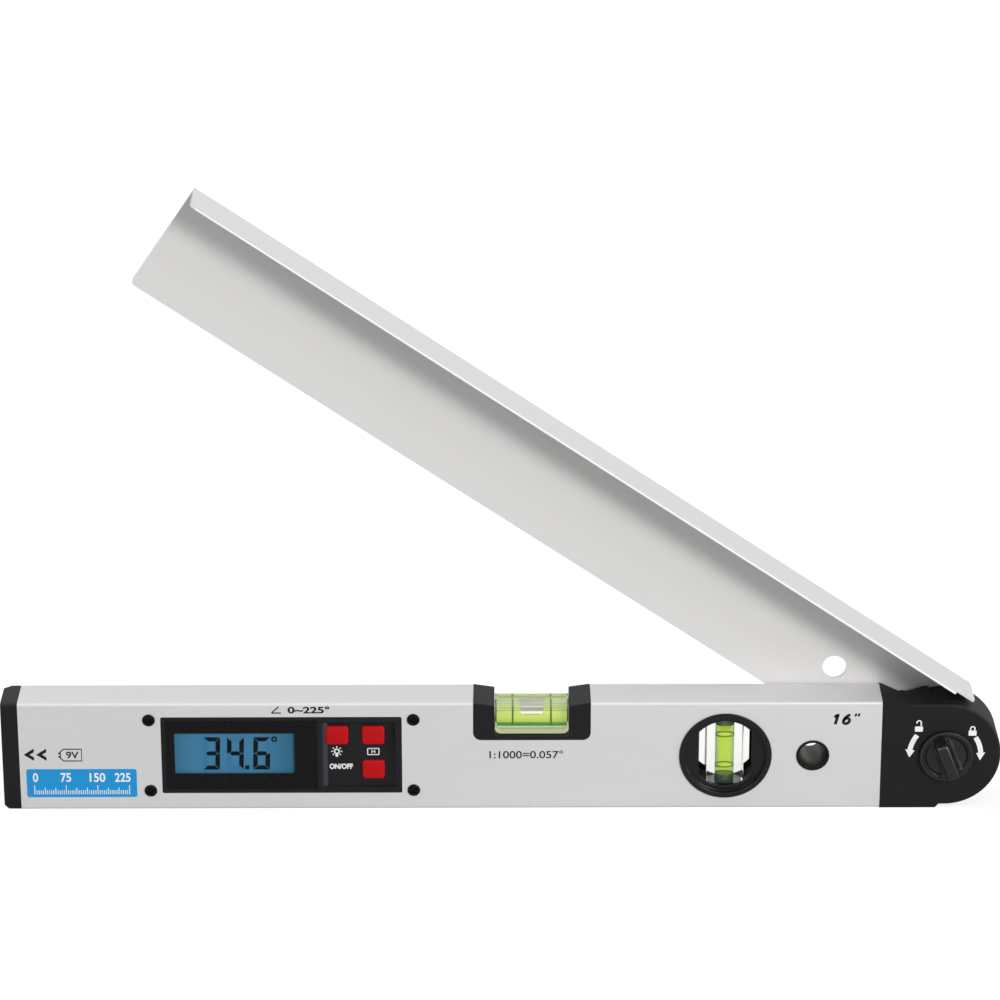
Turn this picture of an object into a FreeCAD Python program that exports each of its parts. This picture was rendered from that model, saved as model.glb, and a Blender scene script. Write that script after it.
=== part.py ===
import FreeCAD, Part
import math
import os
import Sketcher

# Digital angle finder: a hollow aluminium body that stands on its long bottom edge, with a display,
# two spirit vials and a hanging hole, and an L-section arm that folds over it on a lockable hinge.
# Millimetres. X runs along the body towards the hinge, Y from the front face to the back, Z up.
# The origin is in the middle of the bottom face.

document = FreeCAD.newDocument("AngleFinder")
dims = document.addObject("Spreadsheet::Sheet", "dims")

SIZES = [
    # body
    ("body_left", -212.0, "left end of the body"),
    ("body_length", 380.0, "length of the body"),
    ("body_height", 51.2, "height of the body"),
    ("body_depth", 20.9, "front to back"),
    ("body_wall", 1.5, "wall of the body"),
    ("body_edge", 1.2, "radius of the long edges"),
    ("rail_height", 1.2, "battery rail, up and down"),
    ("rail_depth", 1.2, "battery rail, out from the back wall"),
    ("slide_gap", 0.2, "clearance of a sliding or seated piece"),
    ("snug_gap", 0.1, "clearance of a piece pushed into its hole"),
    ("running_gap", 0.3, "clearance between the arm and the body"),
    # end cap and battery
    ("cap_length", 7.5, "end cap beyond the body"),
    ("cap_slant_length", 4.0, "slanted rear corner of the end cap, along the body"),
    ("cap_slant_depth", 3.7, "slanted rear corner of the end cap, front to back"),
    ("cap_foot", 2.2, "slanted bottom corner of the end cap"),
    ("tongue_length", 9.0, "tongue of the end cap inside the body"),
    ("tongue_height", 6.0, "tongue, up and down"),
    ("battery_length", 46.0, "battery without its terminals"),
    ("battery_height", 26.5, "battery, up and down"),
    ("battery_depth", 17.4, "battery, front to back"),
    ("battery_corner", 2.0, "corner radius of the battery"),
    ("battery_inset", 2.6, "battery from the left end of the body"),
    ("terminal_pitch", 12.7, "between the battery terminals"),
    ("terminal_radius", 2.8, "battery terminal"),
    ("terminal_height", 2.6, "battery terminal"),
    ("snap_length", 1.6, "battery snap strip, along the body"),
    ("snap_height", 25.0, "battery snap strip, up and down"),
    ("snap_depth", 12.0, "battery snap strip, front to back"),
    ("lead_radius", 0.7, "battery lead"),
    # display
    ("display_offset", 115.7, "middle of the display from the left end of the body"),
    ("display_rise", 0.6, "middle of the display above the middle of the body"),
    ("bezel_length", 105.9, "display bezel, along the body"),
    ("bezel_height", 36.7, "display bezel, up and down"),
    ("bezel_corner", 0.8, "corner radius of the bezel"),
    ("bezel_inset", 0.2, "bezel face behind the front face"),
    ("flange_margin_x", 9.6, "bezel flange beyond the bezel at its ends"),
    ("flange_gap_z", 1.2, "bezel flange from the top and bottom walls"),
    ("flange_depth", 2.0, "thickness of the bezel flange"),
    ("lens_left", 2.0, "lens from the left edge of the bezel"),
    ("lens_length", 66.4, "lens, along the body"),
    ("lens_height", 33.0, "lens, up and down"),
    ("lens_thickness", 1.0, "lens"),
    ("glass_left", 5.8, "clear view from the left edge of the bezel"),
    ("glass_length", 53.0, "clear view of the liquid crystal"),
    ("glass_height", 19.3, "clear view, up and down"),
    ("glass_rise", 0.85, "middle of the clear view above the middle of the display"),
    ("crystal_margin", 1.2, "liquid crystal panel beyond the clear view"),
    ("crystal_thickness", 2.2, "liquid crystal panel"),
    ("backlight_thickness", 2.4, "backlight"),
    ("keypad_left", 70.4, "keypad recess from the left edge of the bezel"),
    ("keypad_length", 32.6, "keypad recess"),
    ("keypad_height", 31.2, "keypad recess, up and down"),
    ("keypad_recess", 0.6, "depth of the keypad recess"),
    ("keypad_ramp", 3.1, "slanted left side of the keypad recess"),
    ("board_thickness", 1.6, "circuit board"),
    ("board_length", 104.0, "circuit board, along the body"),
    ("board_height", 35.0, "circuit board, up and down"),
    ("post_radius", 2.2, "board post of the bezel"),
    ("post_inset", 3.4, "board post from the edge of the board"),
    ("board_screw_radius", 1.0, "board screw"),
    ("chip_side", 10.0, "processor"),
    ("chip_height", 1.4, "processor"),
    ("screw_pitch_x", 116.3, "between the display screws, along the body"),
    ("screw_pitch_z", 34.2, "between the display screws, up and down"),
    ("screw_radius", 1.5, "display screw shank"),
    ("screw_head_radius", 2.8, "display screw head"),
    ("screw_head_height", 0.8, "display screw head"),
    ("screw_length", 5.4, "display screw under its head"),
    # buttons
    ("button_length", 10.1, "button, along the body"),
    ("button_height", 8.9, "button, up and down"),
    ("button_corner", 1.5, "corner radius of a button"),
    ("button_proud", 0.4, "button in front of the front face"),
    ("button_rim", 0.5, "bevel of a button's front edge"),
    ("button_lip", 0.8, "lip of a button behind the bezel"),
    ("button_travel", 0.5, "how far a button goes in"),
    ("button_left_x", 24.5, "left button from the middle of the display"),
    ("button_right_x", 40.4, "right buttons from the middle of the display"),
    ("button_upper_z", 9.3, "upper buttons above the middle of the display"),
    ("button_lower_z", -7.2, "lower button above the middle of the display"),
    ("switch_side", 5.2, "switch under a button"),
    ("switch_height", 0.5, "switch under a button"),
    ("stem_radius", 1.4, "stem of a button"),
    # level vial in the top edge
    ("level_offset", 36.0, "middle of the level vial from the middle of the body"),
    ("level_length", 51.6, "level vial holder"),
    ("level_drop", 17.9, "level vial holder below the top of the body"),
    ("level_corner", 3.5, "lower corners of the holder"),
    ("level_cheek", 9.4, "cheek of the holder"),
    ("level_floor", 1.6, "floor of the holder"),
    ("trough_corner", 2.5, "lower corners of the trough and of the vial block"),
    ("level_fall", 1.4, "slope of the cheek tops towards the vial"),
    ("vial_depth", 14.5, "vial block, front to back"),
    ("vial_height", 13.0, "level vial block, up and down"),
    ("barrel_radius", 4.2, "bore of a vial"),
    ("barrel_rise", 8.0, "level vial bore above the floor of its holder"),
    ("barrel_margin", 0.8, "level vial bore from the ends of its block"),
    ("mark_pitch", 16.8, "between the marks of the level vial"),
    ("mark_width", 0.45, "mark round a vial"),
    ("mark_depth", 0.25, "mark round a vial, out from its bore"),
    ("bubble_radius", 2.5, "bubble"),
    ("bubble_length", 10.8, "bubble"),
    # plumb vial in its round window
    ("plumb_offset", 68.6, "middle of the plumb vial from the right end of the body"),
    ("plumb_radius", 20.4, "rim of the plumb vial ring"),
    ("plumb_hole", 19.2, "hole of the plumb vial ring in the body"),
    ("plumb_proud", 0.6, "rim in front of the front face"),
    ("plumb_rim", 2.3, "width of the rim"),
    ("plumb_recess", 2.0, "from the faces of the body to the window plates"),
    ("plumb_plate", 1.0, "window plate"),
    ("window_radius", 15.5, "round of the window"),
    ("window_half", 11.6, "half of the window's width"),
    ("upright_width", 16.4, "plumb vial block, along the body"),
    ("upright_height", 30.4, "plumb vial block, up and down"),
    ("upright_margin", 3.4, "plumb vial bore from the bottom of its block"),
    ("upright_mark_pitch", 14.7, "between the marks of the plumb vial"),
    ("upright_mark_drop", 0.6, "middle of these marks below the middle of the body"),
    # hanging hole
    ("hang_offset", 30.1, "hanging hole from the right end of the body"),
    ("hang_flange", 7.3, "radius of the bush flange"),
    ("hang_sleeve", 6.9, "radius of the bush sleeve"),
    ("hang_bore", 6.1, "mouth of the bore at the front"),
    ("hang_throat", 5.0, "narrow bore at the back"),
    ("hang_throat_length", 7.0, "narrow bore"),
    ("hang_proud", 0.4, "bush flange in front of the front face"),
    # hinge
    ("pivot_offset", 28.8, "hinge axis from the right end of the body"),
    ("hinge_inset", 1.5, "round end of the hinge inside the height of the body"),
    ("cheek_depth", 3.9, "front cheek of the hinge housing"),
    ("cheek_edge", 0.7, "bevel of the cheek's front edge"),
    ("shoulder_length", 9.2, "full-height shoulder of the housing at the top"),
    ("shoulder_slope", 3.2, "slope from the shoulder to the round end"),
    ("toe_length", 24.6, "full-height part of the housing at the bottom"),
    ("toe_slope", 1.4, "slope from the toe to the round end"),
    ("saddle_end", 6.8, "end of the saddle before the hinge axis"),
    ("sweep_gap", 3.6, "hollow for the end of the arm beyond half the body's height"),
    ("spigot_length", 12.0, "housing spigot inside the body"),
    ("spigot_wall", 2.4, "wall of the spigot"),
    ("notch_depth", 8.6, "rear notch of the housing, front to back"),
    ("notch_height", 6.0, "rear notch, up and down"),
    ("notch_left", 0.8, "rear notch, left end from the body"),
    ("notch_middle", 8.0, "rear notch, deepest place from the body"),
    ("notch_right", 20.0, "rear notch, right end from the body"),
    ("bush_radius", 6.5, "outside of the pivot bush"),
    ("shaft_radius", 4.0, "pivot shaft"),
    ("shaft_clearance", 0.05, "shaft in its bush"),
    ("shaft_head_radius", 8.0, "head of the shaft behind the arm"),
    ("shaft_head_height", 1.6, "head of the shaft"),
    ("shaft_thread", 4.0, "threaded end in the knob"),
    ("thread_radius", 2.0, "threaded end in the knob"),
    ("washer_radius", 11.0, "friction washer"),
    ("washer_thickness", 1.0, "friction washer"),
    ("sensor_margin", 2.6, "sensor rings inside the round end of the hinge"),
    ("sensor_inner", 13.0, "sensor rings, inside"),
    ("sensor_thickness", 0.8, "sensor rings"),
    ("sensor_seat", 1.1, "depth of the seats of the sensor rings"),
    ("small_screw_radius", 1.25, "hub and housing screws"),
    ("small_head_radius", 2.3, "hub and housing screw heads"),
    ("small_head_height", 1.2, "hub and housing screw heads"),
    ("small_screw_length", 7.0, "hub and housing screws"),
    ("hub_screw_ring", 15.0, "hub screws from the hinge axis"),
    # locking knob
    ("knob_radius", 11.9, "rim of the knob"),
    ("knob_rim_height", 2.0, "rim of the knob"),
    ("knob_dish", 10.0, "dished face of the knob"),
    ("knob_dish_depth", 0.8, "depth of the dish"),
    ("knob_height", 9.4, "knob in front of the housing"),
    ("knob_grip_length", 16.6, "grip bar"),
    ("knob_grip_width", 5.2, "grip bar"),
    ("knob_grip_slant", 0.9, "how much the grip bar narrows to its front"),
    ("knob_angle", -21.5, "turn of the grip bar from upright"),
    ("knob_insert_radius", 2.6, "threaded insert of the knob"),
    ("knob_insert_length", 4.0, "threaded insert of the knob"),
    # arm
    ("rest_angle", 34.3, "arm above the body at rest"),
    ("arm_start", 3.9, "near end of the arm from the hinge axis"),
    ("arm_length", 409.1, "length of the arm"),
    ("arm_thickness", 1.4, "wall of the L-section"),
    ("arm_lift", 1.8, "plate above the bottom of the body when shut"),
    ("arm_web_gap", 0.2, "arm above the body when shut"),
    ("arm_corner", 2.5, "corners at the far end"),
    ("arm_hole_gap", 0.3, "hole of the arm beyond the throat of the hanging hole"),
    ("arm_notch_length", 10.2, "cut-back of the web at the hinge"),
    ("arm_end_corner", 1.2, "rounded rear corner of the web at the hinge"),
]

for row, (alias, size, note) in enumerate(SIZES, start=1):
    dims.set(f"A{row}", alias.replace("_", " "))
    dims.set(f"B{row}", str(size))
    dims.set(f"C{row}", note)
    dims.setAlias(f"B{row}", alias)
document.recompute()

# Places that several pieces share, as formulas of the sheet.
FRONT = "(-dims.body_depth / 2)"
BACK = "(dims.body_depth / 2)"
MIDDLE = "(dims.body_height / 2)"
BODY_RIGHT = "(dims.body_left + dims.body_length)"
INSIDE_FRONT = f"({FRONT} + dims.body_wall)"
INSIDE_BACK = f"({BACK} - dims.body_wall)"
INSIDE_TOP = "(dims.body_height - dims.body_wall)"
PIVOT_X = f"({BODY_RIGHT} + dims.pivot_offset)"
HANG_X = f"({BODY_RIGHT} - dims.hang_offset)"
PLUMB_X = f"({BODY_RIGHT} - dims.plumb_offset)"
LEVEL_X = "(dims.body_left + dims.body_length / 2 + dims.level_offset)"
DISPLAY_X = "(dims.body_left + dims.display_offset)"
DISPLAY_Z = f"({MIDDLE} + dims.display_rise)"
HINGE_RADIUS = f"({MIDDLE} - dims.hinge_inset)"
SENSOR_OUTER = f"({HINGE_RADIUS} - dims.sensor_margin)"
CHEEK_BACK = f"({FRONT} + dims.cheek_depth)"
PLATE_FRONT = f"({BACK} + dims.running_gap)"
PLATE_BACK = f"({PLATE_FRONT} + dims.arm_thickness)"
HUB_FRONT = f"({CHEEK_BACK} + dims.running_gap)"
WEB_INNER = f"({MIDDLE} + dims.arm_web_gap)"
ARM_BELOW = f"({MIDDLE} - dims.arm_lift)"
BEZEL_FACE = f"({FRONT} + dims.bezel_inset)"
BEZEL_LEFT = f"({DISPLAY_X} - dims.bezel_length / 2)"
FLANGE_FRONT = f"({INSIDE_FRONT} + dims.snug_gap)"
FLANGE_BACK = f"({FLANGE_FRONT} + dims.flange_depth)"
LENS_BACK = f"({BEZEL_FACE} + dims.lens_thickness)"
CRYSTAL_FRONT = f"({LENS_BACK} + dims.snug_gap)"
CRYSTAL_BACK = f"({CRYSTAL_FRONT} + dims.crystal_thickness)"
BOARD_FRONT = f"({CRYSTAL_BACK} + dims.backlight_thickness)"
BOARD_BACK = f"({BOARD_FRONT} + dims.board_thickness)"
SOCKET_LEFT = f"({DISPLAY_X} + 4 * dims.chip_side)"
LEVEL_FLOOR = "(dims.body_height - dims.level_drop + dims.level_floor)"
BARREL_Z = f"({LEVEL_FLOOR} + dims.barrel_rise)"
UPRIGHT_BOTTOM = f"({MIDDLE} - dims.upright_height / 2)"
EPS = "0.5"

subparts = []


def measure(formula):
    """The number that a formula of the sheet gives, in millimetres or degrees."""
    result = dims.evalExpression(formula)
    return float(getattr(result, "Value", result))


def bind(thing, formulas):
    """Tie properties of an object to formulas of the sheet."""
    for path, formula in formulas.items():
        thing.setExpression(path, formula)
    return thing


def keep(thing, label):
    """Give a finished sub-part its name and list it for writing."""
    thing.Label = label
    subparts.append(thing)
    return thing


# ---- solids made of primitives -------------------------------------------------------------------

def block(name, x, y, z, length, depth, height):
    """A box from its lowest corner."""
    return bind(document.addObject("Part::Box", name), {
        "Length": length, "Width": depth, "Height": height,
        "Placement.Base.x": x, "Placement.Base.y": y, "Placement.Base.z": z})


def lay_along(thing, along):
    """Turn a piece that rises along Z so that it runs along another axis."""
    axis, degrees = {"X": ((0, 1, 0), 90), "Y": ((1, 0, 0), -90), "Z": ((0, 0, 1), 0)}[along]
    thing.Placement.Rotation = FreeCAD.Rotation(FreeCAD.Vector(*axis), degrees)
    return thing


def rod(name, x, y, z, radius, length, along="Y"):
    """A cylinder from the centre of its first face, along one axis."""
    thing = lay_along(document.addObject("Part::Cylinder", name), along)
    return bind(thing, {
        "Radius": radius, "Height": length,
        "Placement.Base.x": x, "Placement.Base.y": y, "Placement.Base.z": z})


def peg(name, x, y, z, radius, length, along="Y"):
    """A small hidden rod with twelve flat sides, which fits in a round hole of its radius."""
    thing = lay_along(document.addObject("Part::Prism", name), along)
    thing.Polygon = 12
    return bind(thing, {
        "Circumradius": radius, "Height": length,
        "Placement.Base.x": x, "Placement.Base.y": y, "Placement.Base.z": z})


def cone(name, x, y, z, first_radius, last_radius, length):
    """A cone along Y from the centre of its first face."""
    thing = lay_along(document.addObject("Part::Cone", name), "Y")
    return bind(thing, {
        "Radius1": first_radius, "Radius2": last_radius, "Height": length,
        "Placement.Base.x": x, "Placement.Base.y": y, "Placement.Base.z": z})


def join(name, *pieces):
    """One solid from pieces that meet."""
    fusion = document.addObject("Part::MultiFuse", name)
    fusion.Shapes = list(pieces)
    return fusion


def cut(name, base, *tools):
    """A base less its tools."""
    result = document.addObject("Part::Cut", name)
    result.Base = base
    result.Tool = tools[0] if len(tools) == 1 else join(name + "_tools", *tools)
    return result


def overlap(name, first, second):
    """What two solids share."""
    result = document.addObject("Part::Common", name)
    result.Base = first
    result.Tool = second
    return result


def group(name, *pieces):
    """Equal pieces that share one node, as separate solids."""
    compound = document.addObject("Part::Compound", name)
    compound.Links = list(pieces)
    return compound


# ---- solids made of sketches ---------------------------------------------------------------------

def new_body(name):
    return document.addObject("PartDesign::Body", name)


def sketch_on(body, role, name, offset="0"):
    """A sketch on one of the body's origin planes, moved along the plane's normal."""
    plane = next(f for f in body.Origin.OriginFeatures if f.Role == role)
    sketch = body.newObject("Sketcher::SketchObject", name)
    sketch.AttachmentSupport = [(plane, "")]
    sketch.MapMode = "FlatFace"
    sketch.setExpression("AttachmentOffset.Base.z", offset)
    return sketch


def front_sketch(body, name, y):
    """A sketch seen from the front, at a given depth: its axes are X and Z."""
    return sketch_on(body, "XZ_Plane", name, f"-({y})")


def dimension(sketch, kind, *arguments):
    """A driving dimension, tied to the formula that comes last."""
    *references, formula = arguments
    index = sketch.addConstraint(Sketcher.Constraint(kind, *references, measure(formula)))
    sketch.setExpression(f"Constraints[{index}]", formula)


def place_point(sketch, geometry, position, x, y):
    """Fix one point of a sketch by its two coordinates."""
    dimension(sketch, "DistanceX", -1, 1, geometry, position, x)
    dimension(sketch, "DistanceY", -1, 1, geometry, position, y)


def outline(sketch, corners):
    """A closed run of straight lines through corners given as formulas."""
    first = sketch.GeometryCount
    count = len(corners)
    spots = [FreeCAD.Vector(measure(x), measure(y), 0) for x, y in corners]
    for index in range(count):
        sketch.addGeometry(Part.LineSegment(spots[index], spots[(index + 1) % count]), False)
    for index, (x, y) in enumerate(corners):
        following = first + (index + 1) % count
        sketch.addConstraint(Sketcher.Constraint("Coincident", first + index, 2, following, 1))
        place_point(sketch, first + index, 1, x, y)


def circle(sketch, x, y, radius):
    centre = FreeCAD.Vector(measure(x), measure(y), 0)
    index = sketch.addGeometry(Part.Circle(centre, FreeCAD.Vector(0, 0, 1), measure(radius)), False)
    place_point(sketch, index, 3, x, y)
    dimension(sketch, "Radius", index, radius)


def rectangle(sketch, x, y, length, height):
    """A rectangle from its lower left corner."""
    right, top = f"{x} + {length}", f"{y} + {height}"
    outline(sketch, [(x, y), (right, y), (right, top), (x, top)])


def rounded_rectangle(sketch, x, y, length, height, radius):
    """A rectangle with four equal round corners, from its lower left corner."""
    left, low, r = measure(x), measure(y), measure(radius)
    right, high = left + measure(length), low + measure(height)
    up = FreeCAD.Vector(0, 0, 1)
    first = sketch.GeometryCount
    ends = [((left + r, low), (right - r, low)), ((right, low + r), (right, high - r)),
            ((right - r, high), (left + r, high)), ((left, high - r), (left, low + r))]
    for start, stop in ends:
        sketch.addGeometry(Part.LineSegment(FreeCAD.Vector(*start, 0), FreeCAD.Vector(*stop, 0)), False)
    centres = [(right - r, low + r), (right - r, high - r), (left + r, high - r), (left + r, low + r)]
    for quarter, (cx, cy) in enumerate(centres):
        ring = Part.Circle(FreeCAD.Vector(cx, cy, 0), up, r)
        start = (quarter - 1) * math.pi / 2
        sketch.addGeometry(Part.ArcOfCircle(ring, start, start + math.pi / 2), False)
    for side in range(4):
        arc = first + 4 + side
        sketch.addConstraint(Sketcher.Constraint("Tangent", first + side, 2, arc, 1))
        sketch.addConstraint(Sketcher.Constraint("Tangent", arc, 2, first + (side + 1) % 4, 1))
        if side:
            sketch.addConstraint(Sketcher.Constraint("Equal", first + 4, arc))
    for side, kind in enumerate(("Horizontal", "Vertical", "Horizontal", "Vertical")):
        sketch.addConstraint(Sketcher.Constraint(kind, first + side))
    dimension(sketch, "Radius", first + 4, radius)
    dimension(sketch, "DistanceY", -1, 1, first, 1, y)
    dimension(sketch, "DistanceX", -1, 1, first + 3, 1, x)
    dimension(sketch, "DistanceX", first + 3, 1, first + 1, 1, length)
    dimension(sketch, "DistanceY", first, 1, first + 2, 1, height)


def pad(body, sketch, length, name, backwards=True):
    """Raise a sketch to a solid; a front sketch grows towards the back."""
    feature = body.newObject("PartDesign::Pad", name)
    feature.Profile = sketch
    feature.Reversed = backwards
    feature.setExpression("Length", length)
    return feature


def pocket(body, sketch, length, name, forwards=False):
    """Cut a sketch into the solid; a front sketch cuts towards the back."""
    feature = body.newObject("PartDesign::Pocket", name)
    feature.Profile = sketch
    feature.Reversed = forwards
    feature.setExpression("Length", length)
    return feature


def revolve(name, label, profile, x="0", y="0", z="0"):
    """A turned piece: a profile of radius and Y places, turned about a line along Y."""
    body = new_body(name)
    sketch = sketch_on(body, "XY_Plane", name + "_profile")
    outline(sketch, profile)
    turned = body.newObject("PartDesign::Revolution", name + "_turned")
    turned.Profile = sketch
    turned.ReferenceAxis = (sketch, ["V_Axis"])
    turned.Angle = 360
    bind(body, {"Placement.Base.x": x, "Placement.Base.y": y, "Placement.Base.z": z})
    return keep(body, label) if label else body


def edges_like(feature, test):
    """Names of a feature's edges whose bounding box passes a test."""
    document.recompute()
    return [f"Edge{number}" for number, edge in enumerate(feature.Shape.Edges, start=1)
            if test(edge.BoundBox)]


def dress(body, kind, base, edges, size, name):
    """A fillet or chamfer on named edges of a feature."""
    feature = body.newObject("PartDesign::" + kind, name)
    feature.Base = (base, edges)
    feature.setExpression("Radius" if kind == "Fillet" else "Size", size)
    return feature


def near(a, b):
    return abs(a - b) < 0.01


# ---- body ----------------------------------------------------------------------------------------

def make_body_extrusion():
    body = new_body("extrusion")
    section = sketch_on(body, "YZ_Plane", "extrusion_section", "dims.body_left")
    rounded_rectangle(section, FRONT, "0", "dims.body_depth", "dims.body_height", "dims.body_edge")
    rail = f"({INSIDE_BACK} - dims.rail_depth)"
    low_rail_top = f"({MIDDLE} - dims.battery_height / 2 - dims.slide_gap)"
    low_rail = f"({low_rail_top} - dims.rail_height)"
    high_rail = f"({MIDDLE} + dims.battery_height / 2 + dims.slide_gap)"
    high_rail_top = f"({high_rail} + dims.rail_height)"
    outline(section, [
        (INSIDE_FRONT, "dims.body_wall"), (INSIDE_BACK, "dims.body_wall"),
        (INSIDE_BACK, low_rail), (rail, low_rail), (rail, low_rail_top), (INSIDE_BACK, low_rail_top),
        (INSIDE_BACK, high_rail), (rail, high_rail), (rail, high_rail_top),
        (INSIDE_BACK, high_rail_top), (INSIDE_BACK, INSIDE_TOP), (INSIDE_FRONT, INSIDE_TOP)])
    pad(body, section, "dims.body_length", "extrusion_length", backwards=False)

    opening = front_sketch(body, "display_opening", FRONT)
    rounded_rectangle(
        opening, f"{BEZEL_LEFT} - dims.snug_gap",
        f"{DISPLAY_Z} - dims.bezel_height / 2 - dims.snug_gap",
        "dims.bezel_length + 2 * dims.snug_gap", "dims.bezel_height + 2 * dims.snug_gap",
        "dims.bezel_corner")
    pocket(body, opening, "dims.body_wall", "display_cut")

    slot = front_sketch(body, "level_opening", FRONT)
    rounded_rectangle(
        slot, f"{LEVEL_X} - dims.level_length / 2 - dims.snug_gap",
        "dims.body_height - dims.level_drop - dims.snug_gap",
        "dims.level_length + 2 * dims.snug_gap", "2 * dims.level_drop",
        "dims.level_corner + dims.snug_gap")
    pocket(body, slot, "dims.body_depth", "level_cut")

    holes = front_sketch(body, "round_openings", FRONT)
    circle(holes, PLUMB_X, MIDDLE, "dims.plumb_hole + dims.snug_gap")
    circle(holes, HANG_X, MIDDLE, "dims.hang_sleeve + dims.snug_gap")
    pocket(body, holes, "dims.body_depth", "round_cuts")

    screws = front_sketch(body, "screw_places", FRONT)
    for x, z in display_screw_places():
        circle(screws, x, z, "dims.screw_radius + dims.snug_gap")
    pocket(body, screws, "dims.body_wall", "screw_cuts")

    rear = front_sketch(body, "rear_screw_places", BACK)
    for x, z in housing_screw_places():
        circle(rear, x, z, "dims.small_head_radius + dims.snug_gap")
    pocket(body, rear, "dims.body_wall", "rear_screw_cuts", forwards=True)
    keep(body, "body_extrusion")


def display_screw_places():
    return [(f"{DISPLAY_X} {side_x} dims.screw_pitch_x / 2",
             f"{DISPLAY_Z} {side_z} dims.screw_pitch_z / 2")
            for side_x in "-+" for side_z in "-+"]


def housing_screw_places():
    x = f"{BODY_RIGHT} - dims.spigot_length / 2"
    return [(x, "dims.body_height / 3"), (x, "2 * dims.body_height / 3")]


def make_end_cap():
    """A slanted plug with two tongues that slide along the inside of the body."""
    body = new_body("cap")
    face = sketch_on(body, "YZ_Plane", "cap_face", "dims.body_left")
    rounded_rectangle(face, FRONT, "0", "dims.body_depth", "dims.body_height", "dims.body_edge")
    pad(body, face, "dims.cap_length", "cap_block")
    left = "(dims.body_left - dims.cap_length)"
    rear = sketch_on(body, "XY_Plane", "cap_rear_corner")
    outline(rear, [(left, f"{BACK} - dims.cap_slant_depth"),
                   (f"{left} + dims.cap_slant_length", BACK), (left, BACK)])
    pocket(body, rear, "dims.body_height", "cap_rear_slant", forwards=True)
    foot = front_sketch(body, "cap_foot_corner", FRONT)
    outline(foot, [(left, "0"), (f"{left} + dims.cap_foot", "0"), (left, "dims.cap_foot")])
    pocket(body, foot, "dims.body_depth", "cap_foot_slant")
    tongues = sketch_on(body, "YZ_Plane", "cap_tongues", "dims.body_left")
    depth = "dims.body_depth - 2 * dims.body_wall - 2 * dims.slide_gap"
    start = f"{INSIDE_FRONT} + dims.slide_gap"
    rectangle(tongues, start, "dims.body_wall + dims.slide_gap", depth, "dims.tongue_height")
    rectangle(tongues, start, f"{INSIDE_TOP} - dims.slide_gap - dims.tongue_height", depth,
              "dims.tongue_height")
    pad(body, tongues, "dims.tongue_length", "cap_tongue_length", backwards=False)
    keep(body, "end_cap")


def make_battery():
    left = "dims.body_left + dims.battery_inset"
    right = f"({left} + dims.battery_length)"
    body = new_body("battery")
    face = sketch_on(body, "YZ_Plane", "battery_face", left)
    rounded_rectangle(face, "-dims.battery_depth / 2", f"{MIDDLE} - dims.battery_height / 2",
                      "dims.battery_depth", "dims.battery_height", "dims.battery_corner")
    pad(body, face, "dims.battery_length", "battery_case", backwards=False)
    keep(body, "battery_9v")

    levels = {"plus": f"{MIDDLE} + dims.terminal_pitch / 2",
              "minus": f"{MIDDLE} - dims.terminal_pitch / 2"}
    terminals = [peg("terminal_" + name, right, "0", z, "dims.terminal_radius",
                     "dims.terminal_height", "X")
                 for name, z in levels.items()]
    keep(group("terminals", *terminals), "battery_terminals")

    strip = block("snap_strip", f"{right} + dims.terminal_height", "-dims.snap_depth / 2",
                  f"{MIDDLE} - dims.snap_height / 2", "dims.snap_length", "dims.snap_depth",
                  "dims.snap_height")
    cuffs = []
    for name, z in levels.items():
        outer = peg("cuff_" + name, f"{right} + dims.snug_gap", "0", z,
                    "dims.terminal_radius + 1.2", "dims.terminal_height", "X")
        inner = peg("cuff_bore_" + name, right, "0", z,
                    "dims.terminal_radius + dims.snug_gap", "dims.terminal_height", "X")
        cuffs.append(cut("cuff_ring_" + name, outer, inner))
    keep(join("snap", strip, *cuffs), "battery_snap")

    start = f"({right} + dims.terminal_height + dims.snap_length)"
    leads = [peg(f"lead_{number}", start, "0", f"{DISPLAY_Z} - {drop} * dims.chip_side",
                 "dims.lead_radius", f"{SOCKET_LEFT} - {start}", "X")
             for number, drop in enumerate((0.25, 0.75))]
    keep(group("leads", *leads), "battery_leads")


# ---- display -------------------------------------------------------------------------------------

def button_places():
    left = f"{DISPLAY_X} + dims.button_left_x"
    right = f"{DISPLAY_X} + dims.button_right_x"
    upper = f"{DISPLAY_Z} + dims.button_upper_z"
    lower = f"{DISPLAY_Z} + dims.button_lower_z"
    return {"button_light": (left, upper), "button_hold": (right, upper), "button_power": (right, lower)}


def board_corner_places():
    return [(f"{DISPLAY_X} {side_x} (dims.board_length / 2 - dims.post_inset)",
             f"{DISPLAY_Z} {side_z} (dims.board_height / 2 - dims.post_inset)")
            for side_x in "-+" for side_z in "-+"]


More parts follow.
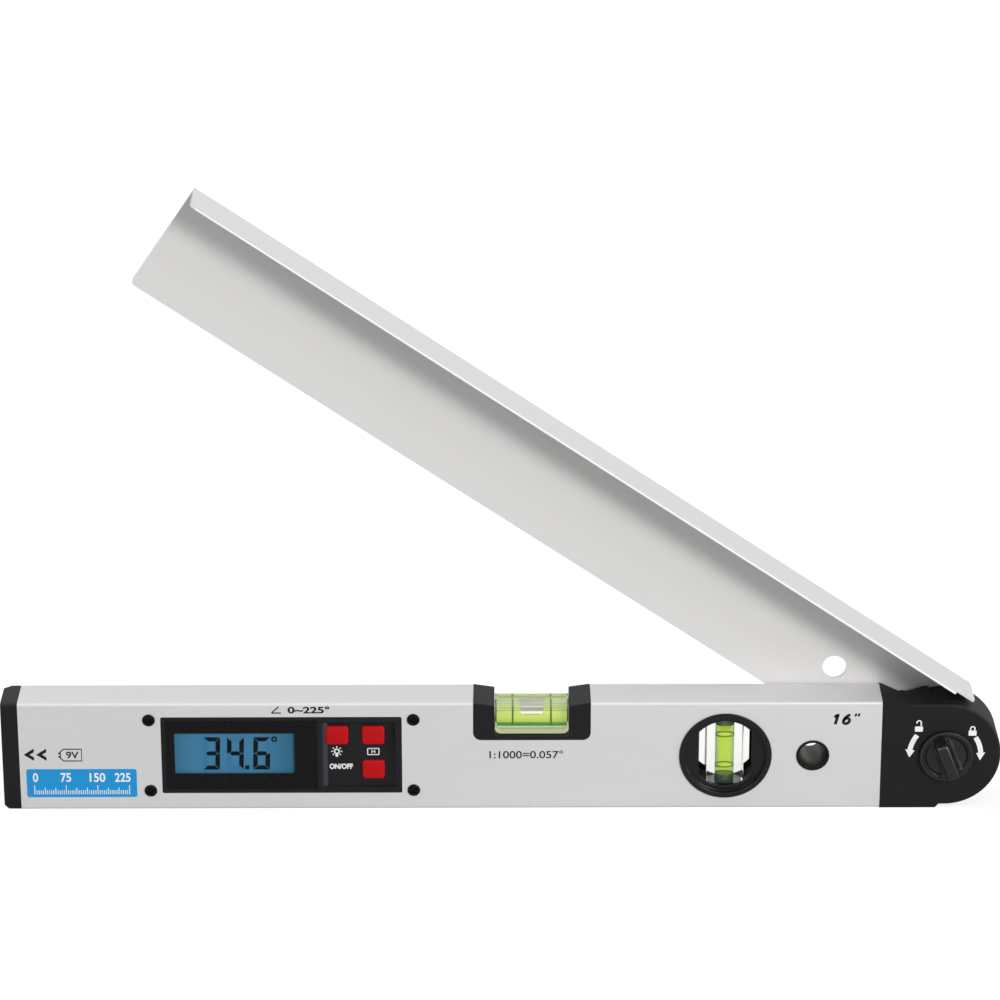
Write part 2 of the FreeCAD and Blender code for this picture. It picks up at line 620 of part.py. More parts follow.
def make_bezel():
    """A black moulding: a face in the opening, a flange behind the wall and four board posts."""
    body = new_body("bezel")
    flange = front_sketch(body, "bezel_flange", FLANGE_FRONT)
    rectangle(flange, f"{BEZEL_LEFT} - dims.flange_margin_x", "dims.body_wall + dims.flange_gap_z",
              "dims.bezel_length + 2 * dims.flange_margin_x",
              "dims.body_height - 2 * dims.body_wall - 2 * dims.flange_gap_z")
    pad(body, flange, "dims.flange_depth", "bezel_flange_depth")
    face = front_sketch(body, "bezel_face", BEZEL_FACE)
    rounded_rectangle(face, BEZEL_LEFT, f"{DISPLAY_Z} - dims.bezel_height / 2",
                      "dims.bezel_length", "dims.bezel_height", "dims.bezel_corner")
    pad(body, face, f"{FLANGE_BACK} - {BEZEL_FACE}", "bezel_face_depth")
    posts = front_sketch(body, "board_posts", FLANGE_FRONT)
    for x, z in board_corner_places():
        circle(posts, x, z, "dims.post_radius")
    pad(body, posts, f"{BOARD_FRONT} - {FLANGE_FRONT}", "board_post_length")

    lens = front_sketch(body, "lens_seat", BEZEL_FACE)
    rectangle(lens, f"{BEZEL_LEFT} + dims.lens_left - dims.snug_gap",
              f"{DISPLAY_Z} - dims.lens_height / 2 - dims.snug_gap",
              "dims.lens_length + 2 * dims.snug_gap", "dims.lens_height + 2 * dims.snug_gap")
    pocket(body, lens, "dims.lens_thickness", "lens_seat_cut")
    view = front_sketch(body, "crystal_seat", BEZEL_FACE)
    rectangle(view, f"{BEZEL_LEFT} + dims.glass_left - dims.crystal_margin - dims.snug_gap",
              f"{DISPLAY_Z} + dims.glass_rise - dims.glass_height / 2 - dims.crystal_margin"
              " - dims.snug_gap",
              "dims.glass_length + 2 * dims.crystal_margin + 2 * dims.snug_gap",
              "dims.glass_height + 2 * dims.crystal_margin + 2 * dims.snug_gap")
    pocket(body, view, f"{FLANGE_BACK} - {BEZEL_FACE}", "crystal_seat_cut")

    recess_left = f"({BEZEL_LEFT} + dims.keypad_left)"
    recess_floor = f"({BEZEL_FACE} + dims.keypad_recess)"
    recess = sketch_on(body, "XY_Plane", "keypad_recess",
                       f"{DISPLAY_Z} - dims.keypad_height / 2")
    outline(recess, [
        (recess_left, BEZEL_FACE), (f"{recess_left} + dims.keypad_ramp", recess_floor),
        (f"{recess_left} + dims.keypad_length", recess_floor),
        (f"{recess_left} + dims.keypad_length", f"{BEZEL_FACE} - {EPS}"),
        (recess_left, f"{BEZEL_FACE} - {EPS}")])
    pocket(body, recess, "dims.keypad_height", "keypad_recess_cut", forwards=True)

    holes = front_sketch(body, "button_holes", BEZEL_FACE)
    for x, z in button_places().values():
        rounded_rectangle(holes, f"{x} - dims.button_length / 2 - dims.slide_gap",
                          f"{z} - dims.button_height / 2 - dims.slide_gap",
                          "dims.button_length + 2 * dims.slide_gap",
                          "dims.button_height + 2 * dims.slide_gap", "dims.button_corner")
    pocket(body, holes, f"{FLANGE_BACK} - {BEZEL_FACE}", "button_hole_cuts")
    threads = front_sketch(body, "bezel_screw_holes", FLANGE_FRONT)
    for x, z in display_screw_places():
        circle(threads, x, z, "dims.screw_radius")
    pocket(body, threads, "dims.flange_depth", "bezel_screw_cuts")
    pilots = front_sketch(body, "board_screw_holes", BOARD_FRONT)
    for x, z in board_corner_places():
        circle(pilots, x, z, "dims.board_screw_radius")
    pocket(body, pilots, f"{BOARD_FRONT} - {FLANGE_FRONT}", "board_screw_cuts", forwards=True)
    keep(body, "display_bezel")


def make_display():
    keep(block("lens", f"{BEZEL_LEFT} + dims.lens_left", BEZEL_FACE,
               f"{DISPLAY_Z} - dims.lens_height / 2",
               "dims.lens_length", "dims.lens_thickness", "dims.lens_height"), "display_lens")
    crystal_left = f"{BEZEL_LEFT} + dims.glass_left - dims.crystal_margin"
    crystal_low = (f"{DISPLAY_Z} + dims.glass_rise - dims.glass_height / 2"
                   " - dims.crystal_margin")
    crystal_length = "dims.glass_length + 2 * dims.crystal_margin"
    crystal_height = "dims.glass_height + 2 * dims.crystal_margin"
    keep(block("crystal", crystal_left, CRYSTAL_FRONT, crystal_low,
               crystal_length, "dims.crystal_thickness", crystal_height), "lcd_panel")
    keep(block("backlight", crystal_left, CRYSTAL_BACK, crystal_low,
               crystal_length, "dims.backlight_thickness", crystal_height), "lcd_backlight")


def make_board():
    body = new_body("board")
    plan = front_sketch(body, "board_plan", BOARD_FRONT)
    rounded_rectangle(plan, f"{DISPLAY_X} - dims.board_length / 2",
                      f"{DISPLAY_Z} - dims.board_height / 2",
                      "dims.board_length", "dims.board_height", "1")
    pad(body, plan, "dims.board_thickness", "board_plate")
    holes = front_sketch(body, "board_holes", BOARD_FRONT)
    for x, z in board_corner_places():
        circle(holes, x, z, "dims.board_screw_radius")
    pocket(body, holes, "dims.board_thickness", "board_hole_cuts")
    keep(body, "main_board")

    side, tall = "dims.chip_side", "dims.chip_height"
    parts = [
        block("processor", f"{DISPLAY_X} - dims.chip_side / 2", BOARD_BACK,
              f"{DISPLAY_Z} - dims.chip_side / 2", side, tall, side),
        block("regulator", f"{DISPLAY_X} - 3 * dims.chip_side", BOARD_BACK,
              DISPLAY_Z, f"{side} / 2", tall, f"{side} / 3"),
        block("memory", f"{DISPLAY_X} + 2 * dims.chip_side", BOARD_BACK,
              f"{DISPLAY_Z} - dims.chip_side", f"{side} / 2", tall, f"{side} / 2"),
        block("lead_socket", SOCKET_LEFT, BOARD_BACK,
              f"{DISPLAY_Z} - dims.chip_side", f"{side} * 0.6", f"3 * {tall}", side)]
    keep(group("components", *parts), "board_components")
    switches = [block("switch_" + name, f"{x} - dims.switch_side / 2",
                      f"{BOARD_FRONT} - dims.switch_height", f"{z} - dims.switch_side / 2",
                      "dims.switch_side", "dims.switch_height", "dims.switch_side")
                for name, (x, z) in button_places().items()]
    keep(group("switches", *switches), "switch_domes")
    screws = []
    for number, (x, z) in enumerate(board_corner_places()):
        head = peg(f"board_head_{number}", x, BOARD_BACK, z, "2 * dims.board_screw_radius",
                   "dims.board_screw_radius")
        shank = peg(f"board_shank_{number}", x, f"{BOARD_BACK} - 4 * dims.board_screw_radius", z,
                    "dims.board_screw_radius", "4 * dims.board_screw_radius")
        screws.append(join(f"board_screw_{number}", head, shank))
    keep(group("board_screw_set", *screws), "board_screws")


def make_buttons():
    """Red caps with a lip behind the bezel and a stem over a switch."""
    face = f"({FRONT} - dims.button_proud)"
    lip_front = f"({FLANGE_BACK} + dims.snug_gap)"
    lip_back = f"({lip_front} + dims.button_lip)"
    stem_end = f"({BOARD_FRONT} - dims.switch_height - dims.button_travel - dims.snug_gap)"
    for name, (x, z) in button_places().items():
        body = new_body(name + "_cap")
        plan = front_sketch(body, name + "_plan", face)
        rounded_rectangle(plan, f"{x} - dims.button_length / 2", f"{z} - dims.button_height / 2",
                          "dims.button_length", "dims.button_height", "dims.button_corner")
        cap = pad(body, plan, f"{lip_back} - {face}", name + "_face")
        rim = edges_like(cap, lambda box: near(box.YMax, measure(face)))
        dress(body, "Chamfer", cap, rim, "dims.button_rim", name + "_rim")
        lip = front_sketch(body, name + "_lip", lip_front)
        rectangle(lip, f"{x} - dims.button_length / 2 - dims.button_lip",
                  f"{z} - dims.button_height / 2 - dims.button_lip",
                  "dims.button_length + 2 * dims.button_lip",
                  "dims.button_height + 2 * dims.button_lip")
        pad(body, lip, "dims.button_lip", name + "_lip_depth")
        stem = front_sketch(body, name + "_stem", lip_front)
        circle(stem, x, z, "dims.stem_radius")
        pad(body, stem, f"{stem_end} - {lip_front}", name + "_stem_length")
        keep(body, name)


def make_display_screws():
    """Four screws through the front wall into the flange of the bezel."""
    screws = []
    for number, (x, z) in enumerate(display_screw_places()):
        head = rod(f"pan_head_{number}", x, f"{FRONT} - dims.screw_head_height", z,
                   "dims.screw_head_radius", "dims.screw_head_height")
        shank = peg(f"pan_shank_{number}", x, FRONT, z, "dims.screw_radius", "dims.screw_length")
        screws.append(join(f"pan_screw_{number}", head, shank))
    keep(group("display_screw_set", *screws), "display_screws")


# ---- vials ---------------------------------------------------------------------------------------

def make_level_holder():
    """A black saddle in the top edge whose cheeks slope a little towards the vial."""
    left = f"({LEVEL_X} - dims.level_length / 2)"
    right = f"({LEVEL_X} + dims.level_length / 2)"
    low = "(dims.body_height - dims.level_drop)"
    body = new_body("level_holder")
    shape = front_sketch(body, "level_holder_face", FRONT)
    rounded_rectangle(shape, left, low, "dims.level_length", "2 * dims.level_drop", "dims.level_corner")
    pad(body, shape, "dims.body_depth", "level_holder_depth")
    trough = front_sketch(body, "level_trough", FRONT)
    rounded_rectangle(trough, f"{left} + dims.level_cheek", LEVEL_FLOOR,
                      "dims.level_length - 2 * dims.level_cheek", "2 * dims.level_drop",
                      "dims.trough_corner")
    pocket(body, trough, "dims.body_depth", "level_trough_cut")
    top = front_sketch(body, "level_cheek_tops", FRONT)
    high = "dims.body_height + 2 * dims.level_drop"
    outline(top, [
        (f"{left} - {EPS}", "dims.body_height"), (left, "dims.body_height"),
        (LEVEL_X, "dims.body_height - dims.level_fall * dims.level_length / 2"
         " / dims.level_cheek"),
        (right, "dims.body_height"), (f"{right} + {EPS}", "dims.body_height"),
        (f"{right} + {EPS}", high), (f"{left} - {EPS}", high)])
    pocket(body, top, "dims.body_depth", "level_cheek_cut")
    keep(body, "level_vial_holder")


def make_level_vial():
    left = f"({LEVEL_X} - dims.level_length / 2 + dims.level_cheek + dims.snug_gap)"
    length = "(dims.level_length - 2 * dims.level_cheek - 2 * dims.snug_gap)"
    bore_left = f"({left} + dims.barrel_margin)"
    bore_length = f"({length} - 2 * dims.barrel_margin)"
    glass = new_body("level_glass")
    face = front_sketch(glass, "level_glass_face", "-dims.vial_depth / 2")
    rounded_rectangle(face, left, LEVEL_FLOOR, length, "2 * dims.vial_height", "dims.trough_corner")
    pad(glass, face, "dims.vial_depth", "level_glass_depth")
    upper = front_sketch(glass, "level_glass_top", "-dims.vial_depth / 2")
    rectangle(upper, left, f"{LEVEL_FLOOR} + dims.vial_height", length, "dims.vial_height")
    pocket(glass, upper, "dims.vial_depth", "level_glass_trim")
    bore = rod("level_bore", left, "0", BARREL_Z, "dims.barrel_radius", length, "X")
    marks = []
    grooves = []
    for side in "-+":
        x = f"{LEVEL_X} {side} dims.mark_pitch / 2 - dims.mark_width / 2"
        outer = "dims.barrel_radius + dims.mark_depth"
        ring = rod(f"level_mark_{len(marks)}", x, "0", BARREL_Z, outer, "dims.mark_width", "X")
        hole = rod(f"level_mark_bore_{len(marks)}", x, "0", BARREL_Z, "dims.barrel_radius",
                   "dims.mark_width", "X")
        grooves.append(rod(f"level_groove_{len(marks)}", x, "0", BARREL_Z, outer, "dims.mark_width", "X"))
        marks.append(cut(f"level_mark_ring_{len(marks)}", ring, hole))
    keep(cut("level_block", glass, bore, *grooves), "level_vial_block")
    keep(group("level_marks", *marks), "level_vial_marks")

    liquid = rod("level_liquid_full", bore_left, "0", BARREL_Z, "dims.barrel_radius", bore_length, "X")
    bubble_z = f"{BARREL_Z} + dims.barrel_radius - dims.bubble_radius"
    bubble = rod("level_bubble", f"{LEVEL_X} - dims.bubble_length / 2", "0", bubble_z,
                 "dims.bubble_radius", "dims.bubble_length", "X")
    keep(cut("level_liquid", liquid, bubble), "level_vial_liquid")
    plugs = [rod("level_plug_left", left, "0", BARREL_Z, "dims.barrel_radius", "dims.barrel_margin", "X"),
             rod("level_plug_right", f"{bore_left} + {bore_length}", "0", BARREL_Z,
                 "dims.barrel_radius", "dims.barrel_margin", "X")]
    keep(group("level_plugs", *plugs), "level_vial_plugs")


def window_prism(name, y, depth):
    """The window: a disc with flat sides."""
    disc = rod(name + "_disc", PLUMB_X, y, MIDDLE, "dims.window_radius", depth)
    band = block(name + "_band", f"{PLUMB_X} - dims.window_half", y,
                 f"{MIDDLE} - dims.window_radius", "2 * dims.window_half", depth,
                 "2 * dims.window_radius")
    return overlap(name, disc, band)


def make_plumb_ring():
    """Two black shells that meet inside the body and hold the plumb vial between their windows."""
    x, z = PLUMB_X, MIDDLE
    face = f"({FRONT} - dims.plumb_proud)"
    inner = "dims.plumb_radius - dims.plumb_rim"
    chamber = "dims.plumb_hole - 1.6"
    plate_front = f"({FRONT} + dims.plumb_recess)"
    chamber_front = f"({plate_front} + dims.plumb_plate)"
    rear_plate = f"({BACK} - dims.plumb_recess)"
    chamber_back = f"({rear_plate} - dims.plumb_plate)"

    rim = rod("plumb_rim", x, face, z, "dims.plumb_radius", "dims.plumb_proud")
    barrel = rod("plumb_barrel", x, FRONT, z, "dims.plumb_hole", "dims.body_depth / 2")
    dish = rod("plumb_dish", x, face, z, inner, f"{plate_front} - {face}")
    room = rod("plumb_room", x, chamber_front, z, chamber, f"0 - {chamber_front}")
    window = window_prism("plumb_window", plate_front, "dims.plumb_plate")
    keep(cut("plumb_front", join("plumb_front_full", rim, barrel), dish, room, window),
         "plumb_ring_front")
    barrel = rod("plumb_rear_barrel", x, "0", z, "dims.plumb_hole", "dims.body_depth / 2")
    dish = rod("plumb_rear_dish", x, rear_plate, z, inner, "dims.plumb_recess")
    room = rod("plumb_rear_room", x, "0", z, chamber, chamber_back)
    window = window_prism("plumb_rear_window", chamber_back, "dims.plumb_plate")
    keep(cut("plumb_rear", barrel, dish, room, window), "plumb_ring_rear")


def make_plumb_vial():
    x = PLUMB_X
    low = UPRIGHT_BOTTOM
    bore_low = f"({low} + dims.upright_margin)"
    bore_length = "(dims.upright_height - 2 * dims.upright_margin)"
    radius = "dims.barrel_radius"
    post = block("upright_post", f"{x} - dims.upright_width / 2", "-dims.vial_depth / 2", low,
                 "dims.upright_width", "dims.vial_depth", "dims.upright_height")
    bore = rod("upright_bore", x, "0", low, radius, "dims.upright_height", "Z")
    outer = "dims.barrel_radius + dims.mark_depth"
    marks = []
    grooves = []
    for side in "-+":
        z = (f"{MIDDLE} - dims.upright_mark_drop {side} dims.upright_mark_pitch / 2"
             " - dims.mark_width / 2")
        ring = rod(f"upright_mark_{len(marks)}", x, "0", z, outer, "dims.mark_width", "Z")
        hole = rod(f"upright_mark_bore_{len(marks)}", x, "0", z, radius, "dims.mark_width", "Z")
        grooves.append(rod(f"upright_groove_{len(marks)}", x, "0", z, outer, "dims.mark_width", "Z"))
        marks.append(cut(f"upright_mark_ring_{len(marks)}", ring, hole))
    keep(cut("upright_block", post, bore, *grooves), "plumb_vial_block")
    keep(group("upright_marks", *marks), "plumb_vial_marks")
    liquid = rod("upright_liquid_full", x, "0", bore_low, radius, bore_length, "Z")
    air = rod("upright_air", x, "0", f"{bore_low} + {bore_length} - dims.bubble_radius",
              "dims.bubble_radius", "dims.bubble_radius", "Z")
    keep(cut("upright_liquid", liquid, air), "plumb_vial_liquid")
    plugs = [rod("upright_plug_low", x, "0", low, radius, "dims.upright_margin", "Z"),
             rod("upright_plug_high", x, "0", f"{bore_low} + {bore_length}", radius,
                 "dims.upright_margin", "Z")]
    keep(group("upright_plugs", *plugs), "plumb_vial_plugs")


def make_hanging_bush():
    """A turned liner that narrows from its mouth at the front to a straight throat at the back."""
    face = f"({FRONT} - dims.hang_proud)"
    step = f"({BACK} - dims.hang_throat_length)"
    revolve("hang_bush", "hanging_bush", [
        ("dims.hang_bore", face), ("dims.hang_flange", face), ("dims.hang_flange", FRONT),
        ("dims.hang_sleeve", FRONT), ("dims.hang_sleeve", BACK), ("dims.hang_throat", BACK),
        ("dims.hang_throat", step)], x=HANG_X, z=MIDDLE)


# ---- hinge ---------------------------------------------------------------------------------------

def make_hinge_housing():
    """The fixed side: a spigot in the body, a full-height block, and a round cheek in front.

    Behind the cheek the block is hollowed round the hinge axis: the lower hollow lets the end of
    the arm swing past, and the upper saddle closes round the hub.
    """
    body = new_body("housing")
    round_top = f"({MIDDLE} + {HINGE_RADIUS})"
    round_low = f"({MIDDLE} - {HINGE_RADIUS})"
    shoulder = f"({BODY_RIGHT} + dims.shoulder_length)"
    toe = f"({BODY_RIGHT} + dims.toe_length)"
    saddle = f"({PIVOT_X} - dims.saddle_end)"
    top = "dims.body_height"

    cheek = front_sketch(body, "cheek_outline", FRONT)
    outline(cheek, [
        (BODY_RIGHT, "0"), (toe, "0"), (f"{toe} + dims.toe_slope", round_low), (PIVOT_X, round_low),
        (PIVOT_X, round_top), (f"{shoulder} + dims.shoulder_slope", round_top), (shoulder, top),
        (BODY_RIGHT, top)])
    pad(body, cheek, "dims.cheek_depth", "cheek_plate")
    disc = front_sketch(body, "cheek_round", FRONT)
    circle(disc, PIVOT_X, MIDDLE, HINGE_RADIUS)
    pad(body, disc, "dims.cheek_depth", "cheek_disc")

    base = front_sketch(body, "block_outline", CHEEK_BACK)
    outline(base, [
        (BODY_RIGHT, "0"), (toe, "0"), (toe, MIDDLE), (f"{shoulder} + dims.shoulder_slope", round_top),
        (shoulder, top), (BODY_RIGHT, top)])
    pad(body, base, f"{BACK} - {CHEEK_BACK}", "housing_block")
    sweep = front_sketch(body, "sweep_outline", CHEEK_BACK)
    circle(sweep, PIVOT_X, MIDDLE, f"{MIDDLE} + dims.sweep_gap")
    pocket(body, sweep, f"{BACK} - {CHEEK_BACK}", "sweep_hollow")
    rest = front_sketch(body, "saddle_outline", CHEEK_BACK)
    outline(rest, [
        (BODY_RIGHT, MIDDLE), (saddle, MIDDLE), (saddle, round_top),
        (f"{shoulder} + dims.shoulder_slope", round_top), (shoulder, top), (BODY_RIGHT, top)])
    pad(body, rest, f"{BACK} - {CHEEK_BACK}", "saddle_block")
    hollow = front_sketch(body, "hub_hollow_outline", CHEEK_BACK)
    circle(hollow, PIVOT_X, MIDDLE, f"{HINGE_RADIUS} + dims.running_gap")
    pocket(body, hollow, f"{BACK} - {CHEEK_BACK}", "hub_hollow")

    notch = sketch_on(body, "XY_Plane", "rear_notch_outline", "dims.body_height - dims.notch_height")
    outline(notch, [
        (f"{BODY_RIGHT} + dims.notch_left", BACK),
        (f"{BODY_RIGHT} + dims.notch_middle", f"{BACK} - dims.notch_depth"),
        (f"{BODY_RIGHT} + dims.notch_right", BACK)])
    pocket(body, notch, "dims.notch_height", "rear_notch", forwards=True)

    plug = sketch_on(body, "YZ_Plane", "spigot_section", BODY_RIGHT)
    inset = "(dims.body_wall + dims.snug_gap)"
    rectangle(plug, f"{FRONT} + {inset}", inset, f"dims.body_depth - 2 * {inset}",
              f"dims.body_height - 2 * {inset}")
    hole = f"({inset} + dims.spigot_wall)"
    rectangle(plug, f"{FRONT} + {hole}", hole, f"dims.body_depth - 2 * {hole}",
              f"dims.body_height - 2 * {hole}")
    pad(body, plug, "dims.spigot_length", "spigot")
    rails = sketch_on(body, "YZ_Plane", "rail_grooves", BODY_RIGHT)
    reach = "(dims.rail_depth + dims.snug_gap)"
    for side, start in (("-", "- dims.rail_height"), ("+", "")):
        z = f"{MIDDLE} {side} (dims.battery_height / 2 + dims.slide_gap) {start} - dims.snug_gap"
        rectangle(rails, f"{INSIDE_BACK} - {reach}", z, f"{reach} + {EPS}",
                  "dims.rail_height + 2 * dims.snug_gap")
    pocket(body, rails, "dims.spigot_length", "rail_groove_cuts", forwards=False)
    threads = front_sketch(body, "spigot_screw_holes", INSIDE_BACK)
    for x, z in housing_screw_places():
        circle(threads, x, z, "dims.small_screw_radius")
    pocket(body, threads, "dims.snug_gap + dims.spigot_wall + 0.01", "spigot_screw_cuts", forwards=True)

    bore = front_sketch(body, "bush_seat", FRONT)
    circle(bore, PIVOT_X, MIDDLE, "dims.bush_radius")
    pocket(body, bore, "dims.cheek_depth", "bush_seat_cut")
    seat = front_sketch(body, "sensor_seat_outline", f"{CHEEK_BACK} - dims.sensor_seat")
    circle(seat, PIVOT_X, MIDDLE, f"{SENSOR_OUTER} + dims.snug_gap")
    circle(seat, PIVOT_X, MIDDLE, "dims.sensor_inner - dims.snug_gap")
    carved = pocket(body, seat, "dims.sensor_seat", "sensor_seat_cut")
    face_edges = edges_like(carved, lambda box: near(box.YMax, measure(FRONT))
                            and box.XMax > measure(BODY_RIGHT) + 1
                            and box.DiagonalLength > 2 * measure("dims.bush_radius") + 12)
    dress(body, "Chamfer", carved, face_edges, "dims.cheek_edge", "cheek_front_edge")
    keep(body, "hinge_housing")


def swing(thing):
    """Put a piece of the arm on the hinge axis, turned to the rest angle."""
    thing.Placement.Rotation = FreeCAD.Rotation(FreeCAD.Vector(0, 1, 0), measure("dims.rest_angle"))
    bind(thing, {"Placement.Base.x": PIVOT_X, "Placement.Base.z": MIDDLE,
                 "Placement.Rotation.Angle": "dims.rest_angle"})
    return thing


def make_hub():
    """The round block behind the cheek that carries the arm's plate."""
    ring = "dims.hub_screw_ring"
    core = rod("hub_core", "0", HUB_FRONT, "0", HINGE_RADIUS, f"{PLATE_FRONT} - {HUB_FRONT}")
    tools = [
        rod("hub_bore", "0", HUB_FRONT, "0", "dims.shaft_radius", f"{PLATE_FRONT} - {HUB_FRONT}"),
        rod("washer_seat", "0", HUB_FRONT, "0", "dims.washer_radius + dims.snug_gap",
            "dims.washer_thickness - dims.running_gap + dims.shaft_clearance")]
    outer = rod("rotor_seat_outer", "0", HUB_FRONT, "0", f"{SENSOR_OUTER} + dims.snug_gap",
                "dims.sensor_seat")
    inner = rod("rotor_seat_inner", "0", HUB_FRONT, "0", "dims.sensor_inner - dims.snug_gap",
                "dims.sensor_seat")
    tools.append(cut("rotor_seat", outer, inner))
    for number, angle in enumerate((90, 210, 330)):
        tools.append(rod(f"hub_pilot_{number}", f"{ring} * cos({angle})",
                         f"{PLATE_BACK} - dims.small_screw_length", f"{ring} * sin({angle})",
                         "dims.small_screw_radius", "dims.small_screw_length"))
    keep(swing(cut("hub", core, *tools)), "hinge_hub")

    screws = []
    for number, angle in enumerate((90, 210, 330)):
        x, z = f"{ring} * cos({angle})", f"{ring} * sin({angle})"
        head = cone(f"hub_head_{number}", x, f"{PLATE_BACK} - dims.small_head_height", z,
                    "dims.small_screw_radius", "dims.small_head_radius", "dims.small_head_height")
        shank = peg(f"hub_shank_{number}", x, f"{PLATE_BACK} - dims.small_screw_length", z,
                    "dims.small_screw_radius", "dims.small_screw_length - dims.small_head_height")
        screws.append(join(f"hub_screw_{number}", head, shank))
    keep(swing(group("hub_screw_set", *screws)), "hub_screws")


def make_housing_screws():
    screws = []
    for number, (x, z) in enumerate(housing_screw_places()):
        head = cone(f"housing_head_{number}", x, f"{BACK} - dims.small_head_height", z,
                    "dims.small_screw_radius", "dims.small_head_radius", "dims.small_head_height")
        shank = peg(f"housing_shank_{number}", x, f"{BACK} - dims.small_screw_length / 2", z,
                    "dims.small_screw_radius",
                    "dims.small_screw_length / 2 - dims.small_head_height")
        screws.append(join(f"housing_screw_{number}", head, shank))
    keep(group("housing_screw_set", *screws), "housing_screws")


def ring_of(name, y, outer, inner, thickness, x="0", z="0"):
    """A flat ring about a line along Y."""
    disc = rod(name + "_disc", x, y, z, outer, thickness)
    hole = rod(name + "_hole", x, y, z, inner, thickness)
    return cut(name, disc, hole)


def make_hinge_parts():
    keep(ring_of("stator", f"{CHEEK_BACK} - dims.sensor_seat", SENSOR_OUTER,
                 "dims.sensor_inner", "dims.sensor_thickness", PIVOT_X, MIDDLE), "sensor_stator")
    keep(swing(ring_of("rotor", f"{HUB_FRONT} + dims.sensor_seat - dims.sensor_thickness",
                       SENSOR_OUTER, "dims.sensor_inner", "dims.sensor_thickness")),
         "sensor_rotor")
    keep(swing(ring_of("washer", f"{CHEEK_BACK} + dims.shaft_clearance", "dims.washer_radius",
                       "dims.shaft_radius", "dims.washer_thickness")), "friction_washer")
    keep(ring_of("bush", FRONT, "dims.bush_radius", "dims.shaft_radius + dims.shaft_clearance",
                 "dims.cheek_depth", PIVOT_X, MIDDLE), "pivot_bush")
    head_back = f"({PLATE_BACK} + dims.shaft_head_height)"
    shaft = revolve("shaft", "pivot_shaft", [
        ("0", f"{FRONT} - dims.shaft_thread"), ("dims.thread_radius", f"{FRONT} - dims.shaft_thread"),
        ("dims.thread_radius", FRONT), ("dims.shaft_radius", FRONT), ("dims.shaft_radius", PLATE_BACK),
        ("dims.shaft_head_radius", PLATE_BACK), ("dims.shaft_head_radius", f"{head_back} - 0.8"),
        ("dims.shaft_head_radius - 1.6", head_back), ("0", head_back)])
    swing(shaft)


def turn_knob(thing):
    """Put a piece of the knob on the hinge axis, turned to the angle of the grip bar."""
    thing.Placement.Rotation = FreeCAD.Rotation(FreeCAD.Vector(0, 1, 0), measure("dims.knob_angle"))
    bind(thing, {"Placement.Base.x": PIVOT_X, "Placement.Base.z": MIDDLE,
                 "Placement.Rotation.Angle": "dims.knob_angle"})
    return thing


def make_knob():
    """A dished knob with a grip bar across it that narrows to the front."""
    back = f"({FRONT} - dims.slide_gap)"
    rim = f"({back} - dims.knob_rim_height)"
    dish = f"({rim} + dims.knob_dish_depth)"
    front = f"({FRONT} - dims.knob_height)"
    body = new_body("knob")
    section = sketch_on(body, "XY_Plane", "knob_section")
    outline(section, [
        ("dims.knob_insert_radius", back), ("dims.knob_radius", back),
        ("dims.knob_radius - 0.2", rim), ("dims.knob_dish", rim),
        ("dims.knob_dish - 1.2", dish), ("dims.knob_insert_radius", dish)])
    turned = body.newObject("PartDesign::Revolution", "knob_turned")
    turned.Profile = section
    turned.ReferenceAxis = (section, ["V_Axis"])
    turned.Angle = 360
    bar = front_sketch(body, "grip_face", front)
    rectangle(bar, "-dims.knob_grip_width / 2", "-dims.knob_grip_length / 2",
              "dims.knob_grip_width", "dims.knob_grip_length")
    grip = pad(body, bar, f"{back} - {front}", "grip_bar")
    grip.setExpression("TaperAngle", f"atan(dims.knob_grip_slant / ({dish} - {front}))")
    bore = front_sketch(body, "insert_seat", back)
    circle(bore, "0", "0", "dims.knob_insert_radius")
    pocket(body, bore, "dims.knob_insert_length", "insert_seat_cut", forwards=True)
    keep(turn_knob(body), "lock_knob")
    keep(turn_knob(ring_of("insert", f"{back} - dims.knob_insert_length", "dims.knob_insert_radius",
                           "dims.thread_radius + dims.shaft_clearance", "dims.knob_insert_length")),
         "knob_insert")


